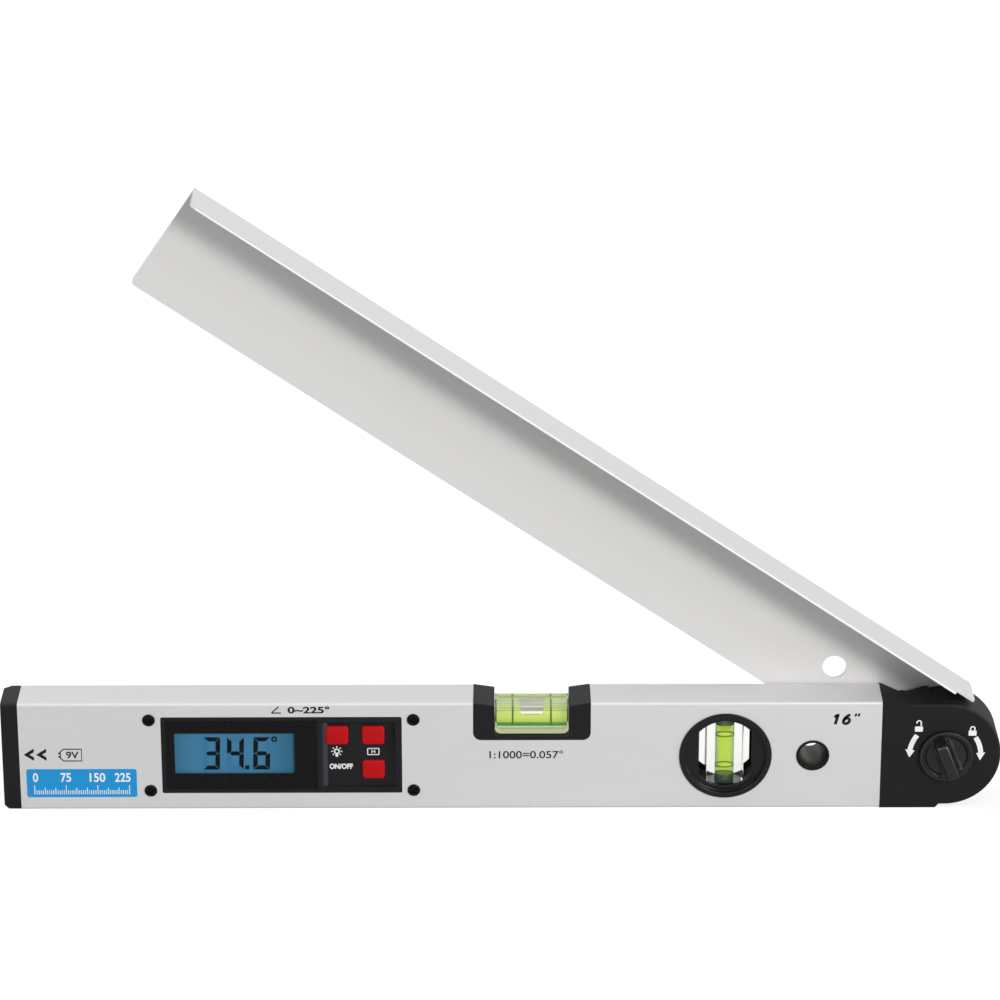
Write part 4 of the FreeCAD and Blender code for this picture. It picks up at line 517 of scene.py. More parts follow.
def print_depths(face):
    """Front and back of a print on a face that looks to the front."""
    return face - PRINT_GAP - INK_THICKNESS, face - PRINT_GAP


ANGLE_CORNER = (-100.4, 46.65)                  # corner of the small angle sign
ANGLE_ENDS = (-97.2, 49.7), (-96.2, 46.65)      # far ends of its two lines
ANGLE_STROKE = 0.55
RANGE_BOX = (-93.3, 46.4), (-74.9, 49.8)        # lowest and highest corner of the range's letters


def make_range_print():
    """The range of the angle, over the display, after a small angle sign."""
    depths = print_depths(FRONT)
    sign = [ribbon([end, ANGLE_CORNER], ANGLE_STROKE, *depths) for end in ANGLE_ENDS]
    build("range_print", sign + [letters("0~225°", *RANGE_BOX, *depths, weight=0.03)], BLACK_INK, "body")


def chevron(tip, length, height, thick, front, back):
    """An arrowhead that points left, with square feet: an outline of six corners."""
    x, z = tip
    rise = height / 2
    outline = np.array([(x, z), (x + length, z + rise), (x + length, z + rise - thick),
                        (x + thick * length / rise, z), (x + length, z - rise + thick),
                        (x + length, z - rise)])
    return plate(outline, front, back)


CHEVRON_TIPS = (-210.0, 26.7), (-204.5, 26.7)
CHEVRON_SIZE = 4.5, 6.0, 1.75                   # length, height and thickness of an arrowhead
BATTERY_LEFT, BATTERY_RIGHT = -193.9, -184.5    # sides of the battery sign
BATTERY_Z, BATTERY_HALF = 26.5, 2.85            # its middle line and half its height
BATTERY_CHAMFER = 1.4
BATTERY_STROKE = 0.55
STUB_LENGTH, STUB_RISE, STUB_WIDTH = 0.9, 0.85, 0.7
VOLTAGE_BOX = (-191.3, 24.8), (-185.8, 28.2)


def make_battery_print():
    """Two arrowheads towards the end cap and the outline of a battery with its voltage."""
    depths = print_depths(FRONT)
    heads = [chevron(tip, *CHEVRON_SIZE, *depths) for tip in CHEVRON_TIPS]
    slope, shoulder = BATTERY_LEFT + BATTERY_CHAMFER, BATTERY_HALF - BATTERY_CHAMFER
    case = np.array([(BATTERY_RIGHT, BATTERY_HALF), (slope, BATTERY_HALF), (BATTERY_LEFT, shoulder),
                     (BATTERY_LEFT, -shoulder), (slope, -BATTERY_HALF), (BATTERY_RIGHT, -BATTERY_HALF)])
    stubs = [ribbon([(BATTERY_LEFT, BATTERY_Z + rise), (BATTERY_LEFT - STUB_LENGTH, BATTERY_Z + rise)],
                    STUB_WIDTH, *depths) for rise in (-STUB_RISE, STUB_RISE)]
    parts = heads + stubs + [ribbon(case + (0, BATTERY_Z), BATTERY_STROKE, *depths, closed=True),
                             letters("9V", *VOLTAGE_BOX, *depths, weight=0.02)]
    build("battery_print", parts, BLACK_INK, "body")


LABEL_LOW = np.array([-209.2, 6.0])
LABEL_HIGH = np.array([-160.5, 19.7])
LABEL_CORNER = 1.0
SCALE_MARGIN, SCALE_FOOT = 3.4, 1.4             # from the label's sides and from its foot
SCALE_STEPS = 45
MARK_STROKE = 0.35
MARK_HEIGHTS = (15, 4.4), (5, 3.2), (1, 2.0)    # how many steps apart, and how tall
NUMBER_RISE, NUMBER_HEIGHT, FIGURE_HALF = 6.0, 4.4, 1.15
NUMBER_OVERHANG = 0.6                           # how far an end number reaches past the scale


def make_scale_label():
    """A blue strip with white marks and plain angles."""
    front, back = print_depths(FRONT)
    outline = rounded_outline(*(LABEL_HIGH - LABEL_LOW) / 2, LABEL_CORNER) + (LABEL_LOW + LABEL_HIGH) / 2
    build("scale_label", [plate(outline, front, back)], BLUE_INK, "body")
    depths = (front - INK_THICKNESS, front)
    first, last = LABEL_LOW[0] + SCALE_MARGIN, LABEL_HIGH[0] - SCALE_MARGIN
    foot = LABEL_LOW[1] + SCALE_FOOT
    marks = []
    for step in range(SCALE_STEPS + 1):
        x = first + (last - first) * step / SCALE_STEPS
        tall = next(height for apart, height in MARK_HEIGHTS if step % apart == 0)
        marks.append(ribbon([(x, foot), (x, foot + tall)], MARK_STROKE, *depths))
    low, high = foot + NUMBER_RISE, foot + NUMBER_RISE + NUMBER_HEIGHT
    for number, share in (("0", 0), ("75", 1 / 3), ("150", 2 / 3), ("225", 1)):
        half = FIGURE_HALF * len(number)
        inset = half - NUMBER_OVERHANG
        x = min(max(first + (last - first) * share, first + inset), last - inset)
        marks.append(letters(number, (x - half, low), (x + half, high), *depths, weight=0.02))
    build("scale_label_print", marks, WHITE_INK, "body")


LENGTH_FOOT = np.array([145.5, 40.6])           # lower left corner of the nominal length
LENGTH_TALL, LENGTH_WIDE = 5.0, 3.8             # of one figure
LENGTH_STROKE, TICK_STROKE = 1.3, 0.91
LENGTH_LEAN = 0.25
SIX_LEFT, TICKS_LEFT = 4.5, 9.3
LEVEL_BOX = (-4.7, 24.4), (27.7, 28.2)          # lowest and highest corner of the level's slope


def make_length_prints():
    """The nominal length in bold slanted strokes, and the level's slope in plain letters.

    A stroke is a path on a figure one wide and one tall, which is scaled, moved and leant over by
    its height.
    """
    depths = print_depths(FRONT)
    bowl = [0.5, 0.32] + [0.34, 0.26] * arc((0, 0), 1.0, 0, 345, 24)
    neck = [0.94, 0.32] + [0.78, 0.62] * arc((0, 0), 1.0, 180, 105, 12)
    strokes = [([(0.5, 0.0), (0.5, 1.0)], 0, LENGTH_STROKE), ([(0.5, 0.9), (0.14, 0.7)], 0, LENGTH_STROKE),
               (bowl, SIX_LEFT, LENGTH_STROKE), (neck, SIX_LEFT, LENGTH_STROKE),
               ([(0.1, 0.76), (0.14, 1.04)], TICKS_LEFT, TICK_STROKE),
               ([(0.46, 0.76), (0.5, 1.04)], TICKS_LEFT, TICK_STROKE)]
    parts = []
    for path, left, stroke in strokes:
        points = np.array(path, float) * (LENGTH_WIDE, LENGTH_TALL) + LENGTH_FOOT + (left, 0)
        points[:, 0] += LENGTH_LEAN * (points[:, 1] - LENGTH_FOOT[1])
        parts.append(ribbon(points, stroke, *depths, closed=path is bowl))
    build("length_print", parts, BLACK_INK, "body")
    build("level_print", [letters("1:1000=0.057°", *LEVEL_BOX, *depths, weight=0.01)], BLACK_INK, "body")


CUT_START, CUT_END = 14.4, 410.4                # ends of the web's bright line, from the hinge axis
CUT_LOW, CUT_HIGH = 25.95, 26.7                 # its two sides, off the line through that axis


def make_cut_edge():
    """The bright line along the front edge of the arm's web: a near-white sheet just over that edge,
    partly the bare cut metal and partly a painted highlight.

    Its corners are places along and off a line that leaves the hinge axis at the arm's angle.
    """
    along = np.array([-math.cos(REST_ANGLE), math.sin(REST_ANGLE)])
    off = np.array([math.sin(REST_ANGLE), math.cos(REST_ANGLE)])
    outline = [PIVOT[[0, 2]] + along * run + off * rise
               for run, rise in ((CUT_START, CUT_LOW), (CUT_END, CUT_LOW), (CUT_END, CUT_HIGH),
                                 (CUT_START, CUT_HIGH))]
    build("arm_cut_edge", [plate(outline, *print_depths(span("arm_blade")[0][1]))], CUT_EDGE_PAINTED_HIGHLIGHT, "arm")


make_cut_edge()
make_range_print()
make_battery_print()
make_scale_label()
make_length_prints()


# ---- display -------------------------------------------------------------------------------------

VIEW_LOW = np.array([-143.45, 17.4])       # clear view of the liquid crystal
VIEW_HIGH = np.array([-90.45, 36.7])
LENS_CORNER, VIEW_CORNER = 0.8, 0.4


def frame_band(outer, inner, front, back):
    """A flat frame between two outlines with the same number of points."""
    rings = [(outer, front), (inner, front), (inner, back), (outer, back), (outer, front)]
    return patch(np.stack([np.insert(points, 1, depth, axis=1) for points, depth in rings]),
                 caps=(False, False))


def make_lens_mask():
    """Black print on the lens, open over the liquid crystal, and the dark gap round the crystal."""
    centre, half = (VIEW_LOW + VIEW_HIGH) / 2, (VIEW_HIGH - VIEW_LOW) / 2
    lens_half = (LENS_HIGH - LENS_LOW)[[0, 2]] / 2
    outer = rounded_outline(*lens_half, LENS_CORNER) + ((LENS_LOW + LENS_HIGH) / 2)[[0, 2]]
    inner = rounded_outline(*half, VIEW_CORNER) + centre
    build("lens_mask", [frame_band(outer, inner, LENS_LOW[1] - 0.02, LENS_LOW[1] - 0.005)],
          LENS_MASK, "body")


CELL_WIDTH = 7.4                    # of a seven-segment digit
CELL_HEIGHT = 15.7
CELL_FOOT = 18.7                    # bottom of the digits
SEGMENT_WIDTH = 2.0
SEGMENT_GAP = 0.16
DIGIT_LEAN = 0.03
DIGIT_LEFTS = {"3": -131.2, "4": -120.7, "6": -109.1}
POINT_CENTRE, POINT_HALF = (-111.7, 19.75), 0.95
DEGREE_CENTRE, DEGREE_RADIUS, DEGREE_STROKE = (-99.5, 33.4), 1.0, 0.75
ON_DEPTH, OFF_DEPTH = 0.04, 0.02    # bars in front of the crystal, lit and not
DIGIT_GAP = 0.005                   # between a bar and the crystal
ALL_BARS = "abcdefg"
LIT_BARS = {"3": "abgcd", "4": "fgbc", "6": "afgedc"}


def segment(kind, foot, width, height, thick, gap):
    """One bar of a seven-segment digit, with mitred corners, leaning with the digit.

    The top bar, the upper right bar and the middle bar are drawn; the rest are those mirrored.
    """
    half, inner = height / 2, thick / 2
    top = [(gap, height), (width - gap, height), (width - gap - thick, height - thick),
           (gap + thick, height - thick)]
    side = [(width, height - gap), (width, half + gap), (width - inner, half + gap),
            (width - thick, half + inner + gap), (width - thick, height - thick - gap)]
    bar = [(inner + gap, half), (thick + gap, half + inner), (width - thick - gap, half + inner),
           (width - inner - gap, half), (width - thick - gap, half - inner), (thick + gap, half - inner)]
    outline = np.array({"a": top, "d": top, "g": bar}.get(kind, side))
    if kind in "dce":
        outline[:, 1] = height - outline[:, 1]
    if kind in "fe":
        outline[:, 0] = width - outline[:, 0]
    outline[:, 0] += DIGIT_LEAN * outline[:, 1]
    return outline + foot


def make_digits():
    """The reading, and the faint bars that are off."""
    face = CRYSTAL_LOW[1]
    back = face - DIGIT_GAP
    on, off = [], []
    for digit, left in DIGIT_LEFTS.items():
        for kind in ALL_BARS:
            bars, depth = (on, ON_DEPTH) if kind in LIT_BARS[digit] else (off, OFF_DEPTH)
            outline = segment(kind, (left, CELL_FOOT), CELL_WIDTH, CELL_HEIGHT, SEGMENT_WIDTH, SEGMENT_GAP)
            bars.append(plate(outline, face - depth, back))
    point = rounded_outline(POINT_HALF, POINT_HALF, 0.3) + POINT_CENTRE
    degree = arc(DEGREE_CENTRE, DEGREE_RADIUS, 0, 345, 24)
    on += [plate(point, face - ON_DEPTH, back),
           ribbon(degree, DEGREE_STROKE, face - ON_DEPTH, back, closed=True)]
    build("display_digits", on, SEGMENT_INK, "body")
    build("display_bars_off", off, SEGMENT_GHOST, "body")


KEYPAD_FLOOR = FRONT + 0.8          # face that the keys stand in
LAMP_SIGN = np.array([-72.0, 27.7])
RAY_SPAN, RAY_STROKE = [1.75, 2.45], 0.5
RAY_ANGLES = [0, 45, 90, 135, 180, 225, 315]
BULB_RADIUS, BULB_STROKE = 1.05, 0.6
BULB_FOOT = 2.0                     # from the bulb's middle down to its base
HOLD_SIGN, HOLD_HALF = (-55.9, 27.55), (2.5, 1.5)
HOLD_BOX = (-56.7, 26.7), (-55.1, 28.4)
SWITCH_BOX = (-75.3, 19.1), (-65.0, 21.7)
SLOPE_LEFT, SLOPE_WIDTH = 80.0, 3.1     # from the housing's left side, and across
SLOPE_Z, SLOPE_HALF = 26.2, 15.2        # its middle height and half its length
SLOPE_SINK = 0.2                        # of its left edge behind the front
SHEET = 0.008                           # thickness of the slope's sheet
KEY_SIZE = np.array([10.1, 8.9])    # a key's cap, across and up
KEY_CORNER, KEY_EDGE, KEY_CROWN = 1.5, 0.9, 0.3
KEY_REAR = 3.0                      # from the back of a key to the back of its cap


def make_keypad_print():
    """White signs beside the keys: a lamp, a letter in a frame, and the switch's two words."""
    depths = print_depths(KEYPAD_FLOOR)
    spokes = [LAMP_SIGN + np.outer(RAY_SPAN, [math.cos(a), math.sin(a)]) for a in np.radians(RAY_ANGLES)]
    rays = [ribbon(spoke, RAY_STROKE, *depths) for spoke in spokes]
    bulb = [ribbon(arc(LAMP_SIGN, BULB_RADIUS, 0, 345, 24), BULB_STROKE, *depths, closed=True),
            plate(rounded_outline(0.6, 0.6, 0.2) + LAMP_SIGN - (0, BULB_FOOT), *depths)]
    hold = [ribbon(rounded_outline(*HOLD_HALF, 0.3) + HOLD_SIGN, 0.4, *depths, closed=True),
            letters("H", *HOLD_BOX, *depths, weight=0.015)]
    switch = [letters("ON/OFF", *SWITCH_BOX, *depths, weight=0.04)]
    build("keypad_print", rays + bulb + hold + switch, WHITE_INK, "body")


def make_keypad_slope():
    """A painted reflection on the slope at the left of the keypad: a sheet just over the slanted face,
    lighter across its middle.
    """
    left = BEZEL_LOW[0] + SLOPE_LEFT
    right = left + SLOPE_WIDTH
    face, floor = FRONT + SLOPE_SINK - PRINT_GAP, KEYPAD_FLOOR - PRINT_GAP
    low, high = SLOPE_Z - SLOPE_HALF, SLOPE_Z + SLOPE_HALF
    rows = [[(left, face, low), (right, floor, low)], [(left, face, high), (right, floor, high)],
            [(left, face + SHEET, high), (right, floor + SHEET, high)],
            [(left, face + SHEET, low), (right, floor + SHEET, low)]]
    # dark at both edges and lighter across the middle: a painted reflection
    painted_reflection = banded("keypad_slope_painted_reflection", "X", (left + right) / 2, (right - left) / 2,
                   [(-1.0, colour(26, 26, 29)), (-0.3, colour(52, 52, 58)), (0.4, colour(66, 66, 74)),
                    (1.0, colour(30, 30, 34))], 0.3, grain=0.6, mottle=0.12, bump=0.05,
                   Specular_IOR_Level=0.15)
    build("keypad_slope", [patch(np.array(rows).transpose(1, 0, 2))], painted_reflection, "body")


def make_keys():
    """The three red caps, each with a rounded edge and a low crown."""
    for key in ("button_light", "button_hold", "button_power"):
        low, high = span(key)
        centre = middle(key)
        cap = pillow((centre[0], centre[2]), *KEY_SIZE / 2, KEY_CORNER, low[1], high[1] - KEY_REAR,
                     KEY_EDGE, KEY_CROWN)
        build(key + "_cap", [cap], RED_KEY, key, [key])


make_lens_mask()
make_digits()
make_keypad_print()
make_keypad_slope()
make_keys()


# ---- screws --------------------------------------------------------------------------------------

PAN_HEAD = 2.8                      # radius of a display screw's head
HUB_HEAD = 2.25                     # radius of a hub screw's head
HUB_SCREW_RING = 15.0               # hub screws from the hinge axis
COUNTERSINK = 1.1                   # depth of a countersunk head
SUNK_BY = 0.05                      # countersunk heads below their face


def screw(centre, face, out, head, shank, length, edge, crown, angle=0.0, flush=0.0):
    """A cross-head screw along Y: a shank, a head and a domed face with a cross sunk in it.

    The face rises by its crown times one less the square of the distance from its rim. Flush is the
    depth of a countersunk head, and zero for a pan head.
    """
    def height(across, up):
        wide = across * math.cos(angle) + up * math.sin(angle)
        tall = up * math.cos(angle) - across * math.sin(angle)
        arms = [ease((0.2 * head - np.abs(a)) / 0.12 + 0.5) * ease((0.62 * head - np.abs(b)) / 0.25)
                for a, b in ((wide, tall), (tall, wide))]
        dome = crown * (1 - (across ** 2 + up ** 2) / head ** 2)
        return edge + dome - 0.32 * head * np.maximum(*arms)

    sides = [(shank, -length), (shank, -flush), (head, 0.0), (head, max(edge - 0.15, 0.02)),
             (head - 0.15, edge + 0.02)]
    radii = np.linspace(head - 0.3, 0.02, 26)
    return sunk_disc(sides, radii, height, out, (centre[0], face, centre[1]), 72)


def make_screws():
    """The screws of the display, the head and the hub, each with its cross turned its own way."""
    low, high = span("display_screws")
    head = PAN_HEAD
    corners = [(x, z) for x in (low[0] + head, high[0] - head) for z in (low[2] + head, high[2] - head)]
    pans = [screw(corner, FRONT, -1, head, 1.5, 4.0, 0.45, 0.35, turn)
            for corner, turn in zip(corners, (0.3, 1.1, 0.7, 0.1))]
    build("display_screws_finish", pans, SCREW_BLACK, "body", ["display_screws"])

    low, high = span("housing_screws")
    head = (high[0] - low[0]) / 2
    places = [((low[0] + high[0]) / 2, z) for z in (low[2] + head, high[2] - head)]
    build("housing_screws_finish",
          [screw(place, BACK - SUNK_BY, 1, head, 1.25, 3.0, 0.03, 0.0, turn, COUNTERSINK)
           for place, turn in zip(places, (0.4, 0.9))], STEEL, "body", ["housing_screws"])

    plate_back = span("hub_screws")[1][1]
    spots = [PIVOT[[0, 2]] + HUB_SCREW_RING * np.array([math.cos(a), math.sin(a)])
             for a in np.radians([90, 210, 330]) - REST_ANGLE]
    build("hub_screws_finish",
          [screw(spot, plate_back - SUNK_BY, 1, HUB_HEAD, 1.25, 6.0, 0.03, 0.0, turn, COUNTERSINK)
           for spot, turn in zip(spots, (0.2, 0.8, 1.3))], STEEL, "arm", ["hub_screws"])


make_screws()


# ---- knob ----------------------------------------------------------------------------------------

KNOB_LIP = 1.8                      # width of the knob's raised lip
KNOB_RIM = 2.0                      # from the back of the knob to its lip
GRIP_LENGTH = 16.6
GRIP_WIDTH = 5.2
GRIP_SLANT = 0.9                    # how much each side of the grip bar leans out to its foot
GRIP_EDGE = 1.0                     # radius of the bar's rounded edges
GRIP_CORNER = 1.3                   # rounding of the bar as seen from the front
HOLLOW_START, HOLLOW_STEP = 3.9, 0.7    # from the bar's middle plane, and the width of the step down
HOLLOW_DEPTH, DISH_DEPTH = 0.75, 0.35


def make_knob():
    """A disc whose face sinks on both sides of a grip bar.

    The face is a lip, a shallow dish inside it, and two deeper hollows beyond a fixed distance from
    the bar's middle plane; soft steps join them. The bar is a stack of rounded rectangles.
    """
    radius = (KNOB_HIGH[0] - KNOB_LOW[0]) / 2
    back, front = KNOB_HIGH[1], KNOB_LOW[1]
    rim = back - KNOB_RIM
    dish = radius - KNOB_LIP

    def height(across, up):
        distance = np.hypot(across, up)
        beside = ease((np.abs(across) - HOLLOW_START) / HOLLOW_STEP) * ease((dish - 0.5 - distance) / 0.9)
        return KNOB_RIM - DISH_DEPTH * ease((dish + 0.25 - distance) / 0.5) - HOLLOW_DEPTH * beside

    sides = [(2.7, 0.0), (radius - 0.3, 0.0), (radius, 0.3), (radius, KNOB_RIM - 0.55),
             (radius - 0.16, KNOB_RIM - 0.16), (radius - 0.55, KNOB_RIM)]
    radii = np.concatenate([np.linspace(radius - 0.9, dish + 0.3, 4), np.linspace(dish + 0.2, 0.05, 60)])
    disc = sunk_disc(sides, radii, height, -1, (0, back, 0), 144)

    foot = rim + 0.3
    turn = np.linspace(0, np.pi / 2, 7)
    depth = np.concatenate([[foot, front + GRIP_EDGE], front + GRIP_EDGE * (1 - np.sin(turn[1:]))])
    spread = np.concatenate([[GRIP_SLANT, 0.06], -GRIP_EDGE * (1 - np.cos(turn[1:]))])
    rings = [np.insert(rounded_outline(GRIP_WIDTH / 2 + w, GRIP_LENGTH / 2 + w, GRIP_CORNER + w), 1, d,
                       axis=1)
             for d, w in zip(depth, spread)]
    parts = [(turn_about(points, KNOB_ANGLE, np.zeros(3)) + np.array([PIVOT[0], 0, PIVOT[2]]), faces)
             for points, faces in (disc, patch(np.stack(rings)))]
    build("lock_knob_finish", parts, KNOB_BLACK, "knob", ["lock_knob"])


make_knob()


def curved_arrow(radius, start, neck, tip, width, head, front, back):
    """A band along a circle about the hinge axis, and a triangle at its end."""
    centre = PIVOT[[0, 2]]
    band = ribbon(arc(centre, radius, start, neck, 20), width, front, back)
    base, point = np.radians(neck), np.radians(tip)
    out = np.array([math.cos(base), math.sin(base)])
    corners = np.array([centre + out * (radius + head), centre + out * (radius - head),
                        centre + radius * np.array([math.cos(point), math.sin(point)])])
    return [band, plate(corners, front, back)]


def padlock(centre, size, opening, front, back):
    """A padlock: a rounded block and a bow, which stands up on one leg when open."""
    centre = np.asarray(centre, float)
    case = rounded_outline(0.5 * size, 0.36 * size, 0.1 * size) + centre
    bow_radius = 0.27 * size
    bow_centre = centre + (0, 0.62 * size + opening)
    left, right = bow_centre - (bow_radius, 0), bow_centre + (bow_radius, 0)
    foot = centre + (0, 0.3 * size)
    path = [(right[0], foot[1])] + arc(bow_centre, bow_radius, 0, 180, 16).tolist()
    path.append((left[0], left[1] - 0.1 * size if opening else foot[1]))
    return [plate(case, front, back), ribbon(path, 0.17 * size, front, back)]


# Radius; start, neck and tip in degrees; width of the band and half the width of its head.
OPEN_ARROW = 16.3, 144, 171, 184, 2.2, 2.1
SHUT_ARROW = 15.2, 34, 4, -10, 2.2, 2.0
OPEN_LOCK, SHUT_LOCK = (184.3, 38.2), (208.0, 36.2)
LOCK_SIZE = 3.5
LOCK_LIFT = 0.9                     # how far the open padlock's bow stands up


def make_lock_signs():
    """An open and a shut padlock, each over an arrow that shows which way the knob turns."""
    depths = print_depths(FRONT)
    signs = curved_arrow(*OPEN_ARROW, *depths) + curved_arrow(*SHUT_ARROW, *depths)
    signs += padlock(OPEN_LOCK, LOCK_SIZE, LOCK_LIFT, *depths)
    signs += padlock(SHUT_LOCK, LOCK_SIZE, 0.0, *depths)
    build("lock_signs", signs, WHITE_INK, "body")


make_lock_signs()


# ---- vials ---------------------------------------------------------------------------------------

VIAL_SEAT = 0.06                    # air under a vial block
BLOCK_CORNER = 2.4                  # rounded lower corners of the level vial's block
# The beds below are sheets of painted light and shade.
BED_DEPTH = 0.12                    # coloured bed above the foot of a block
MARK_WIDTH = 0.8                    # of a ring mark on a vial's bore
BUBBLE_HALF = 5.5                   # half the length of the bubble
BUBBLE_SPREAD = math.radians(75)    # how far round the bore it reaches from the top


def saddle_outline(low, high, corner):
    """The foot of a block as seen from the front: two rounded corners and the line between them."""
    left = arc((low[0] + corner, low[2] + corner), corner, 180, 270, 12)
    right = arc((high[0] - corner, low[2] + corner), corner, 270, 360, 12)
    return np.concatenate([left, right])


def ring_mark(centre, along, radius, axis):
    """A band round a bore."""
    half = MARK_WIDTH / 2
    profile = [(radius - 0.1, along - half), (radius, along - half), (radius, along + half),
               (radius - 0.1, along + half), (radius - 0.1, along - half)]
    points, faces = turned(profile, centre, 72, axis)
    return points, faces[:-2]


def make_level_vial():
    """A clear block in the saddle with a pale bed, a full bore, its ring marks and the bubble.

    The bubble lies on the bore: its reach round the bore shrinks towards both ends as the fourth
    root of one minus the fourth power of the distance from its middle.
    """
    low, high = span("level_vial_block")
    low = low + (0.05, 0, VIAL_SEAT)
    high = high - (0.05, 0, 0)
    foot = saddle_outline(low, high, BLOCK_CORNER)
    outline = np.concatenate([foot, [(high[0], high[2]), (low[0], high[2])]])
    block = build("level_vial_block_finish", [plate(outline, low[1], high[1])], TINTED_ACRYLIC, "body",
                  ["level_vial_block"])
    rounded(block, 0.25)
    # A pale sheet over the block's foot, glowing with painted light, with a band of painted shade.
    inset = np.array([BED_DEPTH, 0, BED_DEPTH])
    bed = saddle_outline(low + inset, high - inset, BLOCK_CORNER)
    build("level_vial_bed", [ribbon(bed, 0.05, low[1] + 0.3, high[1] - 0.3)], VIAL_BED, "body")

    middle_line = (0, (low[1] + high[1]) / 2, LEVEL_BORE_Z)
    ends = LEVEL_LOW[0], LEVEL_HIGH[0]
    profile = [(0.0, ends[0]), (LEVEL_BORE, ends[0]), (LEVEL_BORE, ends[1]), (0.0, ends[1])]
    points, faces = turned(profile, middle_line, 96, "X")
    build("level_liquid_finish", [(points, faces[:-2])], LEVEL_LIQUID_PAINTED_LIGHT, "body",
          ["level_vial_liquid"])
    first, last = span("level_vial_marks")
    radius = LEVEL_BORE + 0.05
    marks = [ring_mark(middle_line, x, radius, "X") for x in (first[0] + 0.2, last[0] - 0.2)]
    build("level_marks_finish", marks, VIAL_MARK, "body", ["level_vial_marks"])

    centre = (first[0] + last[0]) / 2
    run = np.linspace(-1, 1, 41)
    reach = BUBBLE_SPREAD * (1 - 0.999 * run ** 4) ** 0.25
    around = np.linspace(-1, 1, 33)
    angle = reach[:, None] * around
    outer = np.stack([np.broadcast_to(centre + BUBBLE_HALF * run[:, None], angle.shape),
                      middle_line[1] + (LEVEL_BORE + 0.1) * np.sin(angle),
                      middle_line[2] + (LEVEL_BORE + 0.1) * np.cos(angle)], axis=-1)
    shrink = (LEVEL_BORE + 0.04) / (LEVEL_BORE + 0.1)
    axis_line = np.array([0, middle_line[1], middle_line[2]])
    inner = outer * (1, shrink, shrink) + axis_line * (1 - shrink)
    build("level_bubble", [patch(np.concatenate([outer, inner[:, ::-1]], axis=1))], BUBBLE, "body")


def make_plumb_vial():
    """A clear upright block with rounded edges, a dark sheet at its foot that is painted shade, and wide
    ring marks.
    """
    low, high = span("plumb_vial_block")
    half = (high - low) / 2
    centre = (high + low) / 2
    outline = rounded_outline(half[0], half[2], 0.6, 40) + centre[[0, 2]]
    block = build("plumb_vial_block_finish", [plate(outline, low[1], high[1])], ACRYLIC, "body",
                  ["plumb_vial_block"])
    rounded(block, 0.25)
    first, last = span("plumb_vial_marks")
    middle_line = (centre[0], centre[1], 0)
    marks = [ring_mark(middle_line, z, BORE + 0.05, "Z") for z in (first[2] + 0.2, last[2] - 0.2)]
    build("plumb_marks_finish", marks, PLUMB_MARK, "body", ["plumb_vial_marks"])
    # a dark sheet at the block's foot: painted shade
    bed = [(low[0] + 0.7, low[2] + BED_DEPTH), (high[0] - 0.7, low[2] + BED_DEPTH)]
    build("plumb_vial_bed", [ribbon(bed, 0.05, low[1] + 0.3, high[1] - 0.3)], SHADE_SHEET, "body")


make_level_vial()
make_plumb_vial()


# ---- studio --------------------------------------------------------------------------------------

FOCAL_LENGTH, SENSOR_WIDTH = 151.342, 36
CAMERA_PLACE = np.array([-4.973, -1691.089, 816.440])
CAMERA_TURN = np.radians([68.28489, 0.05323, -0.19309])
FLOOR_HALF = 6.0                    # metres, half the side of the floor
FLOOR_TONE = (0.5, 0.5, 0.5, 1)
LIFT_START, LIFT_END = 0.8, 2.6     # metres from the middle, over which the floor grows brighter
LIFT_NEAR, LIFT_FAR = 0.67, 0.9
WORLD_LEVEL = 0.34                  # light of the world on the object


def make_camera():
    """A long lens in front of the object and over it."""
    lens = bpy.data.cameras.new("camera")
    lens.lens = FOCAL_LENGTH
    lens.sensor_width = SENSOR_WIDTH
    lens.clip_end = 20
    camera = bpy.data.objects.new("camera", lens)
    camera.location = CAMERA_PLACE * MM
    camera.rotation_euler = CAMERA_TURN
    bpy.context.scene.collection.objects.link(camera)
    bpy.context.scene.camera = camera


def make_lamp(name, place, aim, size, power):
    """A soft square light that points at a place."""
    light = bpy.data.lights.new(name, "AREA")
    light.size = size
    light.energy = power
    lamp = bpy.data.objects.new(name, light)
    lamp.location = place
    ahead = np.array(aim) - np.array(place)
    flat = math.hypot(ahead[0], ahead[1])
    lamp.rotation_euler = (math.atan2(flat, -ahead[2]), 0, math.atan2(-ahead[0], ahead[1]))
    bpy.context.scene.collection.objects.link(lamp)


def seen_white(tree):
    """One for a ray from the camera, off metal or through glass, and zero for the rest."""
    path = wire(tree, "LightPath")
    either = wire(tree, "Math", {0: path.outputs["Is Camera Ray"], 1: path.outputs["Is Glossy Ray"]},
                  operation="MAXIMUM")
    return wire(tree, "Math", {0: either.outputs[0], 1: path.outputs["Is Transmission Ray"]},
                operation="MAXIMUM").outputs[0]


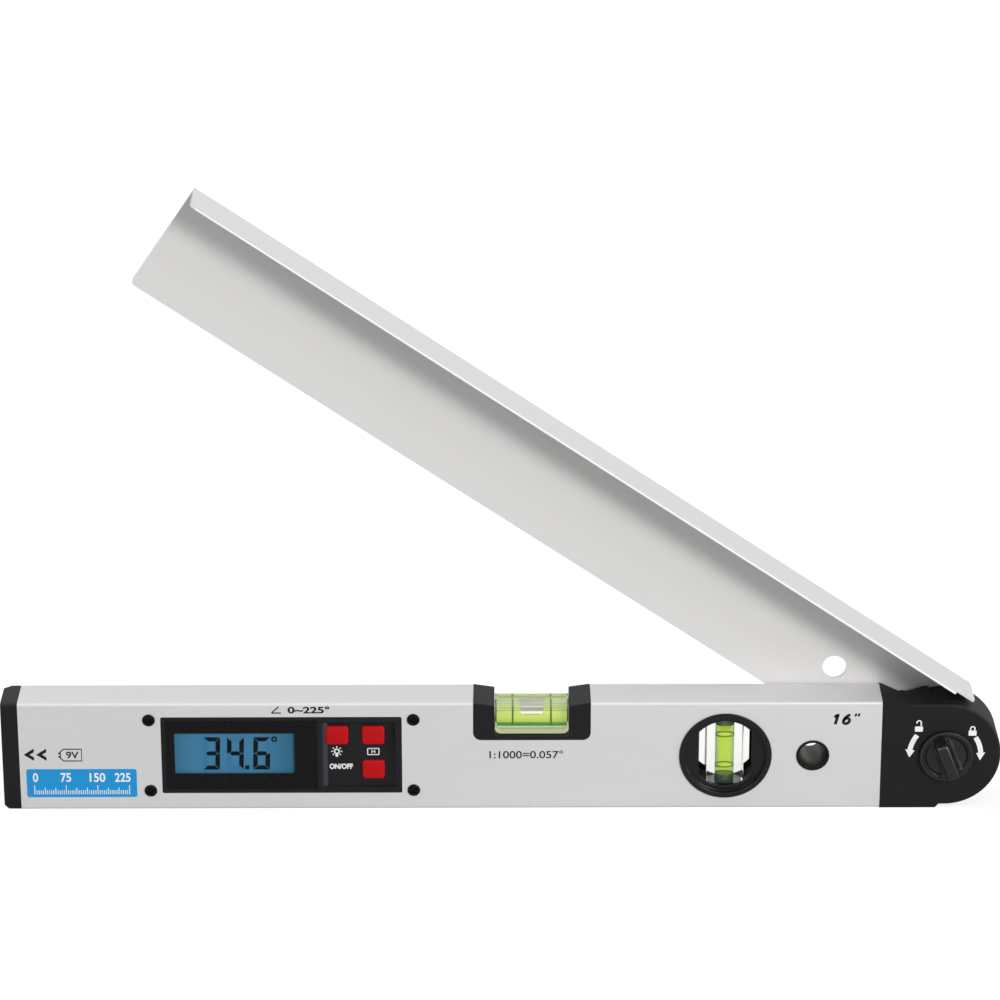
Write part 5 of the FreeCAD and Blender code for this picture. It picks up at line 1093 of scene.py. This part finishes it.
def seen_directly(tree):
    """One for a ray from the camera or through glass, and zero for the rest."""
    path = wire(tree, "LightPath")
    return wire(tree, "Math", {0: path.outputs["Is Camera Ray"], 1: path.outputs["Is Transmission Ray"]},
                operation="MAXIMUM").outputs[0]


def make_floor():
    """A pale floor that looks white, more so far out, and still takes the object's shadow."""
    half = FLOOR_HALF
    mesh = bpy.data.meshes.new("floor")
    mesh.from_pydata([(-half, -half, 0), (half, -half, 0), (half, half, 0), (-half, half, 0)], [],
                     [(0, 1, 2, 3)])
    material = bpy.data.materials.new("floor")
    material.use_nodes = True
    tree = material.node_tree
    tree.nodes.clear()
    matt = wire(tree, "BsdfDiffuse", {"Color": FLOOR_TONE})
    place = wire(tree, "TexCoord").outputs["Object"]
    distance = wire(tree, "VectorMath", {0: place}, operation="LENGTH").outputs["Value"]
    level = wire(tree, "MapRange", {"Value": distance, "From Min": LIFT_START, "From Max": LIFT_END,
                                    "To Min": LIFT_NEAR, "To Max": LIFT_FAR}).outputs["Result"]
    lift = wire(tree, "Math", {0: seen_directly(tree), 1: level}, operation="MULTIPLY")
    glow = wire(tree, "Emission", {"Strength": lift.outputs[0]})
    both = wire(tree, "AddShader", {0: matt.outputs[0], 1: glow.outputs[0]})
    wire(tree, "OutputMaterial", {"Surface": both.outputs[0]})
    mesh.materials.append(material)
    floor = bpy.data.objects.new("floor", mesh)
    bpy.context.scene.collection.objects.link(floor)


def make_world():
    """An even pale light that looks white wherever it is seen or mirrored."""
    world = bpy.data.worlds.new("studio")
    world.use_nodes = True
    tree = world.node_tree
    strength = wire(tree, "MapRange", {"Value": seen_white(tree), "To Min": WORLD_LEVEL, "To Max": 1.0})
    tree.links.new(strength.outputs["Result"], tree.nodes["Background"].inputs["Strength"])
    tree.nodes["Background"].inputs["Color"].default_value = (1, 1, 1, 1)
    bpy.context.scene.world = world


make_camera()
make_floor()
make_world()
make_lamp("key_light", (1.53, -2.21, 1.33), (0, 0, 0.05), 0.85, 67)
make_lamp("side_light", (2.2, -0.75, 0.13), (0.1, 0, 0.03), 0.22, 9)
make_lamp("high_light", (-1.5, -0.1, 1.9), (-0.1, 0, 0.05), 0.6, 25)
bpy.context.scene.view_settings.view_transform = "Standard"
